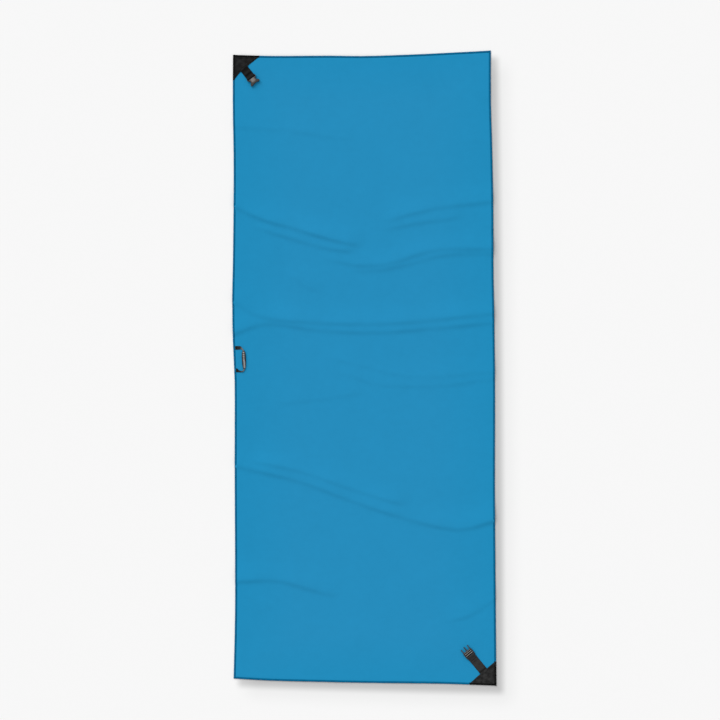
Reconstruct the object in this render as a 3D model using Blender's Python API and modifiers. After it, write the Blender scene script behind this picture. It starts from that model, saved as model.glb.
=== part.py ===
"""Quick dry towel, laid flat, with its buckle straps and its hang loop.

A blue microfibre sheet has an overlocked hem on each side. Two opposite corners carry a black
triangular panel, and a webbing strap comes out from under each one: the upper strap ends in a
buckle socket, the lower one in a ladder plug with two spring arms, with the webbing's end under
its rungs. A hang loop with a label sleeve is sewn into the left hem.

Metres. +X is the towel's width, +Y its length, +Z up from the surface that it lies on. The
origin is the middle of the towel on that surface.
"""
import math

import bmesh
import bpy
from mathutils import Matrix, Vector

MM = 0.001
GAP = 0.3 * MM  # clear space between neighbouring pieces
OVERSHOOT = 12.0 * MM  # how far a cutter runs past what it cuts

# ---- towel outline: each side's ends, and the points between them where the cloth bows
LOWER_LEFT = (-0.3830, -0.9098)
LOWER_RIGHT = (0.3870, -0.9304)
UPPER_RIGHT = (0.3708, 0.9304)
UPPER_LEFT = (-0.3848, 0.9178)
SIDES = {
    "bottom": [LOWER_LEFT, (-0.2760, -0.9158), (-0.1500, -0.9188), (0.0, -0.9222), (0.2350, -0.9252),
               LOWER_RIGHT],
    "right": [LOWER_RIGHT, (0.3843, -0.6210), (0.3824, -0.3400), (0.3829, -0.0900), (0.3817, 0.0820),
              (0.3780, 0.3170), (0.3780, 0.4340), (0.3738, 0.6680), (0.3705, 0.7850), UPPER_RIGHT],
    "top": [UPPER_RIGHT, (0.2350, 0.9232), (0.0750, 0.9163), (-0.0130, 0.9141), (-0.1010, 0.9154),
            (-0.1890, 0.9147), (-0.2760, 0.9146), UPPER_LEFT],
    "left": [UPPER_LEFT, (-0.3854, 0.7850), (-0.3829, 0.6200), (-0.3849, 0.3170), (-0.3870, 0.2000),
             (-0.3852, 0.0820), (-0.3801, -0.0350), (-0.3797, -0.1600), (-0.3799, -0.2900),
             (-0.3789, -0.5040), (-0.3787, -0.7200), LOWER_LEFT],
}
OUTLINE_STEP = 0.060  # spacing of the points along a side

# ---- cloth and hem, heights from the floor
SHEET_THICKNESS = 1.6 * MM
EDGE_BOTTOM = 0.7 * MM  # the sheet's edge is squeezed thin inside the hem
EDGE_TOP = 1.3 * MM
HEM_WIDTH = 4.4 * MM
HEM_WALL = 0.9 * MM
HEM_LIP = 0.4 * MM
HEM_HEIGHT = 2.0 * MM
LAID_HEIGHT = SHEET_THICKNESS + GAP  # underside of everything that lies on the sheet

# ---- corner panels
PANEL_THICKNESS = 0.4 * MM
PANEL_INSET = HEM_WIDTH + 2 * GAP
MOUTH_HALF = 14.0 * MM  # straight part of the panel's inner edge, each side of the strap
BUMP_SLOPE = 4.0 * MM  # width of the slope where the panel drops from the strap to the sheet
SLOPE_STEPS = 4
GRID_REACH = 70.0 * MM  # the panel's grid goes this far each way, and is cut to the outline
GRID_FRONT = 30.0 * MM
GRID_MOUTH = 5.0 * MM  # grid lines each side of the mouth

# ---- webbing straps
WEBBING_WIDTH = 25.4 * MM
WEBBING_THICKNESS = 1.5 * MM
ROOT_LENGTH = 20.0 * MM  # sewn under the panel
BAR_RADIUS = 1.3 * MM
EYE_RADIUS = BAR_RADIUS + GAP
FOLD_RADIUS = EYE_RADIUS + WEBBING_THICKNESS
TAIL_LENGTH = 18.0 * MM  # webbing folded back under the strap behind its bar
BAR_SLOPE = 9.0 * MM  # the upper layer comes down from the bar over this length
TAIL_SLOPE = 4.0 * MM  # and from the folded tail's end to the sheet over this one
FOLD_STEPS = 12  # flats on the half circle round the bar
EYE_STEPS = 16  # flats on the bar's hole
HINGE_HEIGHT = LAID_HEIGHT + WEBBING_THICKNESS + GAP + PANEL_THICKNESS + GAP
BAR_HEIGHT = LAID_HEIGHT + FOLD_RADIUS

CORNERS = {
    # the two sides that meet there, the panel's length along each, the strap's way out from
    # under the panel and its heading, and the distance from there to the buckle bar
    "upper": {"sides": ("top", "left"), "legs": (0.0772, 0.0740), "mouth": (-0.3522, 0.8769),
              "heading": math.radians(-52.0), "reach": 32.9 * MM},
    "lower": {"sides": ("bottom", "right"), "legs": (0.0792, 0.0710), "mouth": (0.3493, -0.8878),
              "heading": math.radians(129.6), "reach": 58.9 * MM},
}

# ---- buckle socket, measured from its bar: x towards the mouth, y across
SOCKET_BOTTOM = LAID_HEIGHT - BAR_HEIGHT
SOCKET_HEIGHT = 7.6 * MM
CAVITY_HALF_WIDTH = 11.8 * MM
CAVITY_HEIGHT = 4.8 * MM
CAVITY_START = 6.6 * MM
POST_INNER = 13.0 * MM  # half the clear width between the posts that hold a bar
BAR_END = 0.5 * MM  # how far the bar runs into each post
SOCKET_ROUNDING = 0.5 * MM
SOCKET_HALF_OUTLINE = [
    # x, y, corner or round, in millimetres, from the mouth's middle to the bar's post
    (20.5, 0.0, "round"), (21.1, 6.5, "round"), (22.4, 11.6, "round"), (22.5, 14.2, "round"),
    (20.0, 15.1, "round"), (17.4, 14.2, "round"), (14.3, 10.6, "round"), (11.4, 8.9, "round"),
    (8.9, 9.1, "round"), (7.2, 11.0, "round"), (5.3, 13.5, "round"), (3.2, 14.4, "round"),
    (-1.6, 14.4, "corner"), (-1.6, 13.0, "corner"), (3.3, 13.0, "corner"), (3.9, 12.3, "corner"),
]

# ---- buckle plug, measured from its bar in the same way
PLUG_BOTTOM = -2.7 * MM
PLUG_HEIGHT = 5.0 * MM
PLUG_HALF_WIDTH = 14.7 * MM
PLUG_REAR = -2.1 * MM
PLUG_FRONT = 18.3 * MM
PLUG_CORNER = 2.0 * MM
PLUG_ROUNDING = 0.4 * MM
FIRST_RUNG = 5.7 * MM
SLOTS = [  # start, end and half width: the ladder's rungs are what stays between them
    (7.9 * MM, 11.4 * MM, 12.4 * MM),
    (13.6 * MM, 16.1 * MM, 11.8 * MM),
]
CHANNEL_START = 4.9 * MM  # the hollow under the rungs, where the webbing lies
CHANNEL_END = 16.9 * MM
CHANNEL_HALF_WIDTH = 13.1 * MM
CHANNEL_TOP = -0.5 * MM
STRAP_END_START = 5.2 * MM
STRAP_END_LENGTH = 11.3 * MM
STRAP_END_BOTTOM = -2.4 * MM
TONGUE_TIP = 32.6 * MM
TONGUE_HALF_WIDTH = 1.5 * MM
TONGUE_HEIGHT = 3.0 * MM
TONGUE_ROOT = 1.0 * MM  # how far the tongue starts inside the frame
TONGUE_TAPER = 3.0 * MM
ARM_PIVOT = (19.9 * MM, 11.15 * MM)
ARM_HEIGHT = 3.6 * MM
ARM_OUTLINE = [
    # x along the arm, y outwards, in millimetres from the arm's pivot
    (0.0, 1.3, "round"), (-1.3, 0.0, "round"), (0.0, -1.3, "round"), (4.0, -1.0, "round"),
    (8.5, -0.9, "round"), (11.2, -0.4, "round"), (11.4, 0.5, "round"), (8.8, 1.8, "round"),
    (6.9, 2.3, "corner"), (6.5, 1.1, "corner"), (3.0, 1.1, "round"),
]

# ---- hang loop on the left hem
TAPE_WIDTH = 10.6 * MM
TAPE_THICKNESS = 0.8 * MM
LOOP_ROOT_Y = {"upper": 0.0592, "lower": -0.0075}
LOOP_ROOT_LENGTH = 6.0 * MM
LOOP_HINGE_HEIGHT = LAID_HEIGHT + TAPE_THICKNESS + 1.0 * MM
LABEL_TOP = (-0.3538, 0.0495)
LABEL_BOTTOM = (-0.3517, -0.0021)
LABEL_HEIGHT = 4.6 * MM
LABEL_CHANNEL = (3.9 * MM, 3.4 * MM)
LABEL_ROUNDING = 1.0 * MM
CORD_SIZE = (3.2 * MM, 2.8 * MM)  # the tape where it is gathered into a cord
CORD_STRAIGHT = 2.2 * MM  # how far the cord runs straight past each end of the label
LABEL_HALF_OUTLINE = [
    # distance from the label's top, half width, in millimetres
    (0.0, 3.4), (4.5, 5.1), (14.0, 5.7), (34.0, 5.6), (45.0, 4.6), (51.6, 3.0),
]

# ---- bar tacks: dense thread pads that hold the sewn ends
TACK_DEPTH = 2.0 * MM
TACK_THICKNESS = 0.5 * MM
TACK_ROUNDING = 0.15 * MM
TACK_FROM_BAR = 12.0 * MM
STRAP_TACK_WIDTH = 20.0 * MM
LOOP_TACK_WIDTH = 8.6 * MM

# ---- materials: colour, roughness
BLUE_CLOTH = ("blue_cloth", (0.017, 0.262, 0.497, 1.0), 0.95)
BLUE_THREAD = ("blue_thread", (0.003, 0.105, 0.235, 1.0), 0.8)
BLACK_CLOTH = ("black_cloth", (0.021, 0.021, 0.022, 1.0), 0.85)
BLACK_THREAD = ("black_thread", (0.008, 0.008, 0.008, 1.0), 0.8)
WEBBING = ("webbing", (0.020, 0.020, 0.020, 1.0), 0.75)
PLASTIC = ("grey_plastic", (0.095, 0.088, 0.084, 1.0), 0.4)
LABEL_CLOTH = ("label_cloth", (0.12, 0.12, 0.118, 1.0), 0.7)


# ------------------------------------------------------------------ helpers
def clear_scene():
    for obj in list(bpy.data.objects):
        bpy.data.objects.remove(obj, do_unlink=True)


def new_collection(name):
    collection = bpy.data.collections.new(name)
    bpy.context.scene.collection.children.link(collection)
    return collection


def material(spec):
    name, colour, roughness = spec
    found = bpy.data.materials.get(name)
    if found:
        return found
    made = bpy.data.materials.new(name)
    made.use_nodes = True
    shader = made.node_tree.nodes["Principled BSDF"]
    shader.inputs["Base Color"].default_value = colour
    shader.inputs["Roughness"].default_value = roughness
    shader.inputs["Metallic"].default_value = 0.0
    made.diffuse_color = colour
    return made


def add_object(name, data, collection, spec=None, parent=None, location=(0, 0, 0), rotation=(0, 0, 0)):
    obj = bpy.data.objects.new(name, data)
    collection.objects.link(obj)
    if spec:
        data.materials.append(material(spec))
    obj.parent = parent
    obj.location = location
    obj.rotation_euler = rotation
    return obj


def add_empty(name, collection, location, heading=0.0, parent=None):
    empty = add_object(name, None, collection, parent=parent, location=location,
                       rotation=(0, 0, heading))
    empty.empty_display_size = 0.02
    return empty


def add_spline(curve, points):
    """A closed spline. A point is (x, y) or (x, y, "round" or "corner")."""
    if len(points[0]) == 2:
        spline = curve.splines.new("POLY")
        spline.points.add(len(points) - 1)
        for target, (x, y) in zip(spline.points, points):
            target.co = (x, y, 0.0, 1.0)
    else:
        spline = curve.splines.new("BEZIER")
        spline.bezier_points.add(len(points) - 1)
        for target, (x, y, kind) in zip(spline.bezier_points, points):
            target.co = (x, y, 0.0)
            handle = "AUTO" if kind == "round" else "VECTOR"
            target.handle_left_type = handle
            target.handle_right_type = handle
    spline.use_cyclic_u = True


def plate(name, outlines, height, collection, rounding=0.0, resolution=4, **place):
    """A flat plate: closed outlines in local XY, the later ones being holes in the first one."""
    curve = bpy.data.curves.new(name, "CURVE")
    curve.dimensions = "2D"
    curve.fill_mode = "BOTH"
    curve.extrude = height / 2 - rounding
    curve.bevel_depth = rounding
    curve.bevel_resolution = 1
    curve.offset = -rounding
    curve.resolution_u = resolution
    for outline in outlines:
        add_spline(curve, outline)
    return add_object(name, mesh_from_curve(curve), collection, **place)


def mesh_from_curve(curve):
    """The curve's evaluated mesh, its caps welded on."""
    name = curve.name
    source = bpy.data.objects.new(name + "_curve", curve)
    bpy.context.scene.collection.objects.link(source)
    bpy.context.view_layer.update()
    evaluated = source.evaluated_get(bpy.context.evaluated_depsgraph_get())
    mesh = bpy.data.meshes.new_from_object(evaluated)
    bpy.data.objects.remove(source, do_unlink=True)
    bpy.data.curves.remove(curve)
    work = bmesh.new()
    work.from_mesh(mesh)
    bmesh.ops.remove_doubles(work, verts=work.verts, dist=0.01 * MM)
    bmesh.ops.recalc_face_normals(work, faces=work.faces)
    work.to_mesh(mesh)
    work.free()
    mesh.name = name
    return mesh


def box(name, low, high, collection, **place):
    work = bmesh.new()
    size = [above - below for below, above in zip(low, high)]
    centre = [(above + below) / 2 for below, above in zip(low, high)]
    shape = Matrix.Translation(centre) @ Matrix.Diagonal((*size, 1.0))
    bmesh.ops.create_cube(work, size=1.0, matrix=shape)
    mesh = bpy.data.meshes.new(name)
    work.to_mesh(mesh)
    work.free()
    return add_object(name, mesh, collection, **place)


def cross_bar(name, radius, length, collection, **place):
    """A round bar along local Y."""
    work = bmesh.new()
    turn = Matrix.Rotation(math.radians(90), 4, "X")
    bmesh.ops.create_cone(work, cap_ends=True, segments=16, radius1=radius, radius2=radius,
                          depth=length, matrix=turn)
    mesh = bpy.data.meshes.new(name)
    work.to_mesh(mesh)
    work.free()
    return add_object(name, mesh, collection, **place)


def round_edges(obj, width, segments=2):
    bevel = obj.modifiers.new("rounded_edges", "BEVEL")
    bevel.width = width
    bevel.segments = segments
    bevel.limit_method = "ANGLE"
    bevel.angle_limit = math.radians(50)


def combine(obj, other, operation):
    """Cut obj with other, join it to obj, or keep what both share."""
    boolean = obj.modifiers.new(operation.lower(), "BOOLEAN")
    boolean.operation = operation
    boolean.object = other
    other.hide_render = True
    other.display_type = "WIRE"


def scaled(points):
    """Outline points given in millimetres, in metres."""
    return [(point[0] * MM, point[1] * MM, *point[2:]) for point in points]


def mirrored(half):
    """A closed outline from its half at +y. A point at y = 0 is shared by both halves."""
    other = [(x, -y, kind) for x, y, kind in reversed(half) if y > 0]
    return half + other


def smooth_line(points, step):
    """Points about a step apart on one smooth curve through the given points."""
    knots = [Vector(point) for point in points]
    chords = [(b - a).length for a, b in zip(knots, knots[1:])]
    slopes = [(b - a) / d for a, b, d in zip(knots, knots[1:], chords)]
    tangents = [slopes[0]]
    for before, after, d0, d1 in zip(slopes, slopes[1:], chords, chords[1:]):
        tangents.append((before * d1 + after * d0) / (d0 + d1))
    tangents.append(slopes[-1])
    line = []
    for i, chord in enumerate(chords):
        count = max(2, round(chord / step))
        for k in range(count):
            t = k / count
            line.append(knots[i] * (1 + 2 * t) * (1 - t) ** 2 + tangents[i] * chord * t * (1 - t) ** 2
                        + knots[i + 1] * t * t * (3 - 2 * t) - tangents[i + 1] * chord * t * t * (1 - t))
    line.append(knots[-1])
    return line


def trimmed(line, start, end):
    """An open line with a length taken off each end."""
    def cut_front(points, length):
        for i, (a, b) in enumerate(zip(points, points[1:])):
            span = (b - a).length
            if length < span:
                return [a.lerp(b, length / span)] + points[i + 1:]
            length -= span
        return points[-1:]
    return cut_front(cut_front(line, start)[::-1], end)[::-1]


def line_length(line):
    return sum((b - a).length for a, b in zip(line, line[1:]))


def inset(loop, distance):
    """A closed anticlockwise loop moved inwards."""
    moved = []
    for before, here, after in zip(loop[-1:] + loop[:-1], loop, loop[1:] + loop[:1]):
        first = (here - before).normalized().orthogonal()
        second = (after - here).normalized().orthogonal()
        bisector = first + second
        moved.append(here + bisector * (distance / (1 + first.dot(second))))
    return [(point.x, point.y) for point in moved]


def smooth_step(value):
    value = min(max(value, 0.0), 1.0)
    return value * value * (3 - 2 * value)


# ------------------------------------------------------------------ towel
def side_line(side):
    return smooth_line(SIDES[side], OUTLINE_STEP)


def build_sheet(parts, cutters):
    loop = []
    for side in SIDES:
        loop.extend(side_line(side)[:-1])
    sheet = plate("towel_sheet", [inset(loop, HEM_WIDTH + GAP)], SHEET_THICKNESS, parts,
                  spec=BLUE_CLOTH, location=(0, 0, SHEET_THICKNESS / 2))
    edge = plate("sheet_edge", [inset(loop, HEM_WALL + GAP)], EDGE_TOP - EDGE_BOTTOM, cutters,
                 location=(0, 0, (EDGE_TOP + EDGE_BOTTOM) / 2))
    combine(sheet, edge, "UNION")


def hem_profile(cutters):
    """The hem's section: a channel that is open towards the middle of the towel."""
    section = [(0, 0), (HEM_WIDTH, 0), (HEM_WIDTH, HEM_LIP), (HEM_WALL, HEM_LIP),
               (HEM_WALL, HEM_HEIGHT - HEM_LIP), (HEM_WIDTH, HEM_HEIGHT - HEM_LIP),
               (HEM_WIDTH, HEM_HEIGHT), (0, HEM_HEIGHT)]
    curve = bpy.data.curves.new("hem_profile", "CURVE")
    curve.dimensions = "2D"
    add_spline(curve, [(-x, y) for x, y in reversed(section)])
    guide = add_object("hem_profile", curve, cutters)
    guide.hide_render = True
    guide.display_type = "WIRE"
    return guide


def build_edging(name, side, start, end, profile, parts, spec):
    """A length of overlocked edge, start and end being the lengths left out of its side."""
    curve = bpy.data.curves.new(name, "CURVE")
    curve.dimensions = "3D"
    curve.twist_mode = "Z_UP"
    curve.bevel_mode = "OBJECT"
    curve.bevel_object = profile
    curve.use_fill_caps = True
    line = trimmed(side_line(side), start, end)
    spline = curve.splines.new("POLY")
    spline.points.add(len(line) - 1)
    for target, point in zip(spline.points, line):
        target.co = (point.x, point.y, 0.0, 1.0)
    return add_object(name, mesh_from_curve(curve), parts, spec=spec)


def build_hems(parts, cutters):
    """The hem of each side, and the black edging of each panel's two legs."""
    profile = hem_profile(cutters)
    butt = HEM_WIDTH + GAP  # the top and bottom runs stop at the long sides' edging
    for key, corner in CORNERS.items():
        cross_side, long_side = corner["sides"]
        cross_leg, long_leg = corner["legs"]
        cross_rest = line_length(side_line(cross_side)) - cross_leg
        long_rest = line_length(side_line(long_side)) - long_leg
        runs = [
            ("hem_" + cross_side, cross_side, butt, cross_leg + GAP / 2, BLUE_THREAD),
            ("hem_" + long_side, long_side, long_leg + GAP / 2, 0.0, BLUE_THREAD),
            (key + "_corner_edging_cross", cross_side, cross_rest + GAP / 2, butt, BLACK_THREAD),
            (key + "_corner_edging_long", long_side, 0.0, long_rest + GAP / 2, BLACK_THREAD),
        ]
        for name, side, start, end, spec in runs:
            build_edging(name, side, start, end, profile, parts, spec)


# ------------------------------------------------------------------ corner panels
def panel_outline(corner):
    """The panel's outline in the frame of its strap."""
    into, out = (side_line(side) for side in corner["sides"])
    into_leg, out_leg = corner["legs"]
    start = trimmed(into, line_length(into) - into_leg, 0.0)[0]
    apex = into[-1]
    end = trimmed(out, 0.0, line_length(out) - out_leg)[-1]
    tip = Vector(inset([start, apex, end], PANEL_INSET)[1])
    start += (apex - start).normalized().orthogonal() * PANEL_INSET
    end += (end - apex).normalized().orthogonal() * PANEL_INSET
    to_strap = (Matrix.Translation((*corner["mouth"], 0.0))
                @ Matrix.Rotation(corner["heading"], 4, "Z")).inverted()
    start, tip, end = ((to_strap @ point.to_3d()).to_2d() for point in (start, tip, end))
    mouth = [Vector((-GAP, -MOUTH_HALF)), Vector((-GAP, MOUTH_HALF))]
    return [(point.x, point.y) for point in (start, tip, end, *mouth)]


def panel_height(x, y):
    """Height of the panel's underside over the sheet, raised where it covers the strap's root."""
    rise = WEBBING_THICKNESS + GAP
    past_side = abs(y) - (WEBBING_WIDTH / 2 + GAP)
    past_end = -x - (ROOT_LENGTH + GAP)
    slope = smooth_step(1 - max(past_side, past_end, 0.0) / BUMP_SLOPE)
    return rise * slope


def grid_stations():
    """Grid lines of the panel, close together where its height changes."""
    side = WEBBING_WIDTH / 2 + GAP
    slope = [BUMP_SLOPE * k / SLOPE_STEPS for k in range(SLOPE_STEPS + 1)]
    outer = [side + width for width in slope] + [GRID_REACH]
    across = [-value for value in reversed(outer)] + [0.0] + outer
    back = ROOT_LENGTH + GAP
    along = [-GRID_REACH] + [-(back + width) for width in reversed(slope)]
    along += [-back / 2, -GRID_MOUTH, GRID_MOUTH, GRID_FRONT]
    return along, across


def build_panel(name, corner, parts, cutters, empty):
    along, across = grid_stations()
    work = bmesh.new()
    bmesh.ops.create_grid(work, x_segments=len(along) - 1, y_segments=len(across) - 1, size=0.5)
    for vertex in work.verts:
        x = along[round((vertex.co.x + 0.5) * (len(along) - 1))]
        y = across[round((vertex.co.y + 0.5) * (len(across) - 1))]
        vertex.co = (x, y, panel_height(x, y))
    mesh = bpy.data.meshes.new(name)
    work.to_mesh(mesh)
    work.free()
    rest = (0, 0, LAID_HEIGHT - HINGE_HEIGHT)
    panel = add_object(name, mesh, parts, spec=BLACK_CLOTH, parent=empty, location=rest)
    solidify = panel.modifiers.new("cloth_thickness", "SOLIDIFY")
    solidify.thickness = PANEL_THICKNESS
    solidify.offset = 1.0
    outline = plate(name + "_shape", [panel_outline(corner)], 2 * OVERSHOOT, cutters, parent=empty)
    combine(panel, outline, "INTERSECT")


# ------------------------------------------------------------------ straps
def strap_profile(reach):
    """Side view of a strap from its hinge: x along it, y up, with the eye for the buckle bar."""
    low = LAID_HEIGHT - HINGE_HEIGHT
    single = low + WEBBING_THICKNESS
    double = low + 2 * WEBBING_THICKNESS
    eye = (reach, BAR_HEIGHT - HINGE_HEIGHT)
    outer = [(GAP / 2, low)]
    for k in range(FOLD_STEPS + 1):
        angle = math.pi * (k / FOLD_STEPS - 0.5)
        outer.append((eye[0] + FOLD_RADIUS * math.cos(angle), eye[1] + FOLD_RADIUS * math.sin(angle)))
    crest = eye[1] + FOLD_RADIUS
    for t in (k / 6 for k in range(1, 7)):
        outer.append((eye[0] - BAR_SLOPE * t, crest + (double - crest) * smooth_step(t)))
    tail = reach - TAIL_LENGTH
    for t in (k / 4 for k in range(5)):
        outer.append((tail - TAIL_SLOPE * t, double + (single - double) * smooth_step(t)))
    outer.append((GAP / 2, single))
    hole = []
    for k in range(EYE_STEPS):
        angle = -2 * math.pi * k / EYE_STEPS
        hole.append((eye[0] + EYE_RADIUS * math.cos(angle), eye[1] + EYE_RADIUS * math.sin(angle)))
    return [outer, hole]


def build_strap(prefix, corner, parts, cutters):
    """The panel, the strap's sewn root and its free length. Returns the empty on its bar's axis."""
    hinge = add_empty(prefix + "_strap_hinge", cutters, (*corner["mouth"], HINGE_HEIGHT),
                      corner["heading"])
    build_panel(prefix + "_corner_panel", corner, parts, cutters, hinge)
    half = WEBBING_WIDTH / 2
    low = LAID_HEIGHT - HINGE_HEIGHT
    box(prefix + "_strap_root", (-ROOT_LENGTH, -half, low), (-GAP / 2, half, low + WEBBING_THICKNESS),
        parts, spec=WEBBING, parent=hinge)
    reach = corner["reach"]
    plate(prefix + "_strap", strap_profile(reach), WEBBING_WIDTH, parts, spec=WEBBING,
          parent=hinge, rotation=(math.radians(90), 0, 0))
    tack = reach - TACK_FROM_BAR
    floor = low + 2 * WEBBING_THICKNESS + GAP
    pad = box(prefix + "_strap_bartack", (tack - TACK_DEPTH, -STRAP_TACK_WIDTH / 2, floor),
              (tack, STRAP_TACK_WIDTH / 2, floor + TACK_THICKNESS), parts, spec=BLACK_THREAD,
              parent=hinge)
    round_edges(pad, TACK_ROUNDING)
    return add_empty(prefix + "_bar", cutters, (reach, 0, BAR_HEIGHT - HINGE_HEIGHT), parent=hinge)


# ------------------------------------------------------------------ buckle
def build_socket(parts, cutters, bar_empty):
    middle = SOCKET_BOTTOM + SOCKET_HEIGHT / 2
    shell = plate("buckle_socket", [mirrored(scaled(SOCKET_HALF_OUTLINE))], SOCKET_HEIGHT, parts,
                  rounding=SOCKET_ROUNDING, spec=PLASTIC, parent=bar_empty, location=(0, 0, middle))
    bar = cross_bar("socket_bar", BAR_RADIUS, 2 * (POST_INNER + BAR_END), cutters, parent=bar_empty)
    combine(shell, bar, "UNION")
    mouth = max(point[0] for point in scaled(SOCKET_HALF_OUTLINE))
    cavity = box("socket_cavity", (CAVITY_START, -CAVITY_HALF_WIDTH, middle - CAVITY_HEIGHT / 2),
                 (mouth + OVERSHOOT, CAVITY_HALF_WIDTH, middle + CAVITY_HEIGHT / 2), cutters,
                 parent=bar_empty)
    combine(shell, cavity, "DIFFERENCE")


def plug_outline():
    """The ladder frame from above, open at the back between the posts of its bar."""
    inner, outer = POST_INNER, PLUG_HALF_WIDTH
    bulge = 0.3 * PLUG_CORNER
    half = [(PLUG_FRONT, 0.0, "corner"), (PLUG_FRONT, outer - PLUG_CORNER, "corner"),
            (PLUG_FRONT - bulge, outer - bulge, "round"),
            (PLUG_FRONT - PLUG_CORNER, outer, "corner"), (PLUG_REAR, outer, "corner"),
            (PLUG_REAR, inner, "corner"), (FIRST_RUNG, inner, "corner")]
    return mirrored(half)


def build_plug(parts, cutters, bar_empty):
    slots = []
    for start, end, half_width in SLOTS:
        slots.append([(start, -half_width, "corner"), (start, half_width, "corner"),
                      (end, half_width, "corner"), (end, -half_width, "corner")])
    middle = PLUG_BOTTOM + PLUG_HEIGHT / 2
    frame = plate("buckle_plug", [plug_outline(), *slots], PLUG_HEIGHT, parts,
                  rounding=PLUG_ROUNDING, spec=PLASTIC, parent=bar_empty, location=(0, 0, middle))
    bar = cross_bar("plug_bar", BAR_RADIUS, 2 * (POST_INNER + BAR_END), cutters, parent=bar_empty)
    combine(frame, bar, "UNION")
    channel = box("ladder_channel", (CHANNEL_START, -CHANNEL_HALF_WIDTH, PLUG_BOTTOM - OVERSHOOT),
                  (CHANNEL_END, CHANNEL_HALF_WIDTH, CHANNEL_TOP), cutters, parent=bar_empty)
    combine(frame, channel, "DIFFERENCE")
    half = WEBBING_WIDTH / 2
    box("lower_strap_end", (STRAP_END_START, -half, STRAP_END_BOTTOM),
        (STRAP_END_START + STRAP_END_LENGTH, half, STRAP_END_BOTTOM + WEBBING_THICKNESS), parts,
        spec=WEBBING, parent=bar_empty)
    width = TONGUE_HALF_WIDTH
    root = PLUG_FRONT - TONGUE_ROOT
    tip = TONGUE_TIP
    outline = [(root, -width, "corner"), (tip - TONGUE_TAPER, -width, "corner"),
               (tip, -0.6 * width, "round"), (tip, 0.6 * width, "round"),
               (tip - TONGUE_TAPER, width, "corner"), (root, width, "corner")]
    tongue = plate("plug_tongue", [outline], TONGUE_HEIGHT, cutters, rounding=PLUG_ROUNDING,
                   parent=bar_empty, location=(0, 0, middle))
    combine(frame, tongue, "UNION")
    for name, side in (("plug_arm_left", 1), ("plug_arm_right", -1)):
        pivot = (ARM_PIVOT[0], side * ARM_PIVOT[1], middle)
        outline = [(x, side * y, kind) for x, y, kind in scaled(ARM_OUTLINE)]
        plate(name, [outline], ARM_HEIGHT, parts, rounding=PLUG_ROUNDING, spec=PLASTIC,
              parent=bar_empty, location=pivot)


# ------------------------------------------------------------------ hang loop
def loop_root(key):
    """Where a sewn end of the tape comes out of the left hem."""
    y = LOOP_ROOT_Y[key]
    line = side_line("left")
    for above, below in zip(line, line[1:]):
        if above.y >= y >= below.y:
            hem = above.lerp(below, (above.y - y) / (above.y - below.y))
    return Vector((hem.x + HEM_WIDTH + 2 * GAP, y))


def loop_route(upper, lower):
    """Stations of the free tape: x, y, height of its middle, width and thickness."""
    cord_w, cord_t = CORD_SIZE
    flat_z = LAID_HEIGHT + TAPE_THICKNESS / 2
    cord_z = LAID_HEIGHT + LABEL_HEIGHT / 2
    start, end = upper.x + LOOP_ROOT_LENGTH + GAP, lower.x + LOOP_ROOT_LENGTH + GAP
    top, bottom = Vector(LABEL_TOP), Vector(LABEL_BOTTOM)
    past_label = (bottom - top).normalized() * CORD_STRAIGHT
    return [
        (start, upper.y, flat_z, TAPE_WIDTH, TAPE_THICKNESS),
        (-0.3672, 0.0593, flat_z, 10.4 * MM, TAPE_THICKNESS),
        (-0.3635, 0.0587, flat_z + 0.4 * MM, 7.4 * MM, 1.4 * MM),
        (-0.3603, 0.0571, cord_z - 0.7 * MM, 4.2 * MM, 2.3 * MM),
        (-0.3576, 0.0551, cord_z, cord_w, cord_t),
        (*(top - past_label), cord_z, cord_w, cord_t),
        (*(bottom + past_label), cord_z, cord_w, cord_t),
        (-0.3553, -0.0082, cord_z, cord_w, cord_t),
        (-0.3588, -0.0099, cord_z - 0.4 * MM, 3.6 * MM, 2.6 * MM),
        (-0.3625, -0.0107, flat_z + 0.7 * MM, 5.4 * MM, 1.8 * MM),
        (-0.3662, -0.0093, flat_z + 0.2 * MM, 8.0 * MM, 1.2 * MM),
        (end, lower.y, flat_z, TAPE_WIDTH, TAPE_THICKNESS),
    ]


def build_tape(parts, hinge, origin, roots):
    """The free tape, lofted through sections that change from flat to gathered."""
    route = loop_route(*roots)
    centres = [Vector(station[:3]) for station in route]
    spans = [(b - a).to_2d().normalized() for a, b in zip(centres, centres[1:])]
    headings = [Vector((1, 0))] + [a + b for a, b in zip(spans, spans[1:])] + [Vector((-1, 0))]
    work = bmesh.new()
    rings = []
    for centre, heading, (_, _, _, width, thickness) in zip(centres, headings, route):
        side = Vector((-heading.y, heading.x, 0.0)).normalized() * (width / 2)
        up = Vector((0.0, 0.0, thickness / 2))
        corners = (-side - up, side - up, side + up, -side + up)
        rings.append([work.verts.new(centre + corner - origin) for corner in corners])
    for first, second in zip(rings, rings[1:]):
        for k in range(4):
            work.faces.new((first[k], first[k - 1], second[k - 1], second[k]))
    work.faces.new(rings[0])
    work.faces.new(reversed(rings[-1]))
    bmesh.ops.recalc_face_normals(work, faces=work.faces)
    mesh = bpy.data.meshes.new("hang_loop_tape")
    work.to_mesh(mesh)
    work.free()
    add_object("hang_loop_tape", mesh, parts, spec=WEBBING, parent=hinge)


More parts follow.
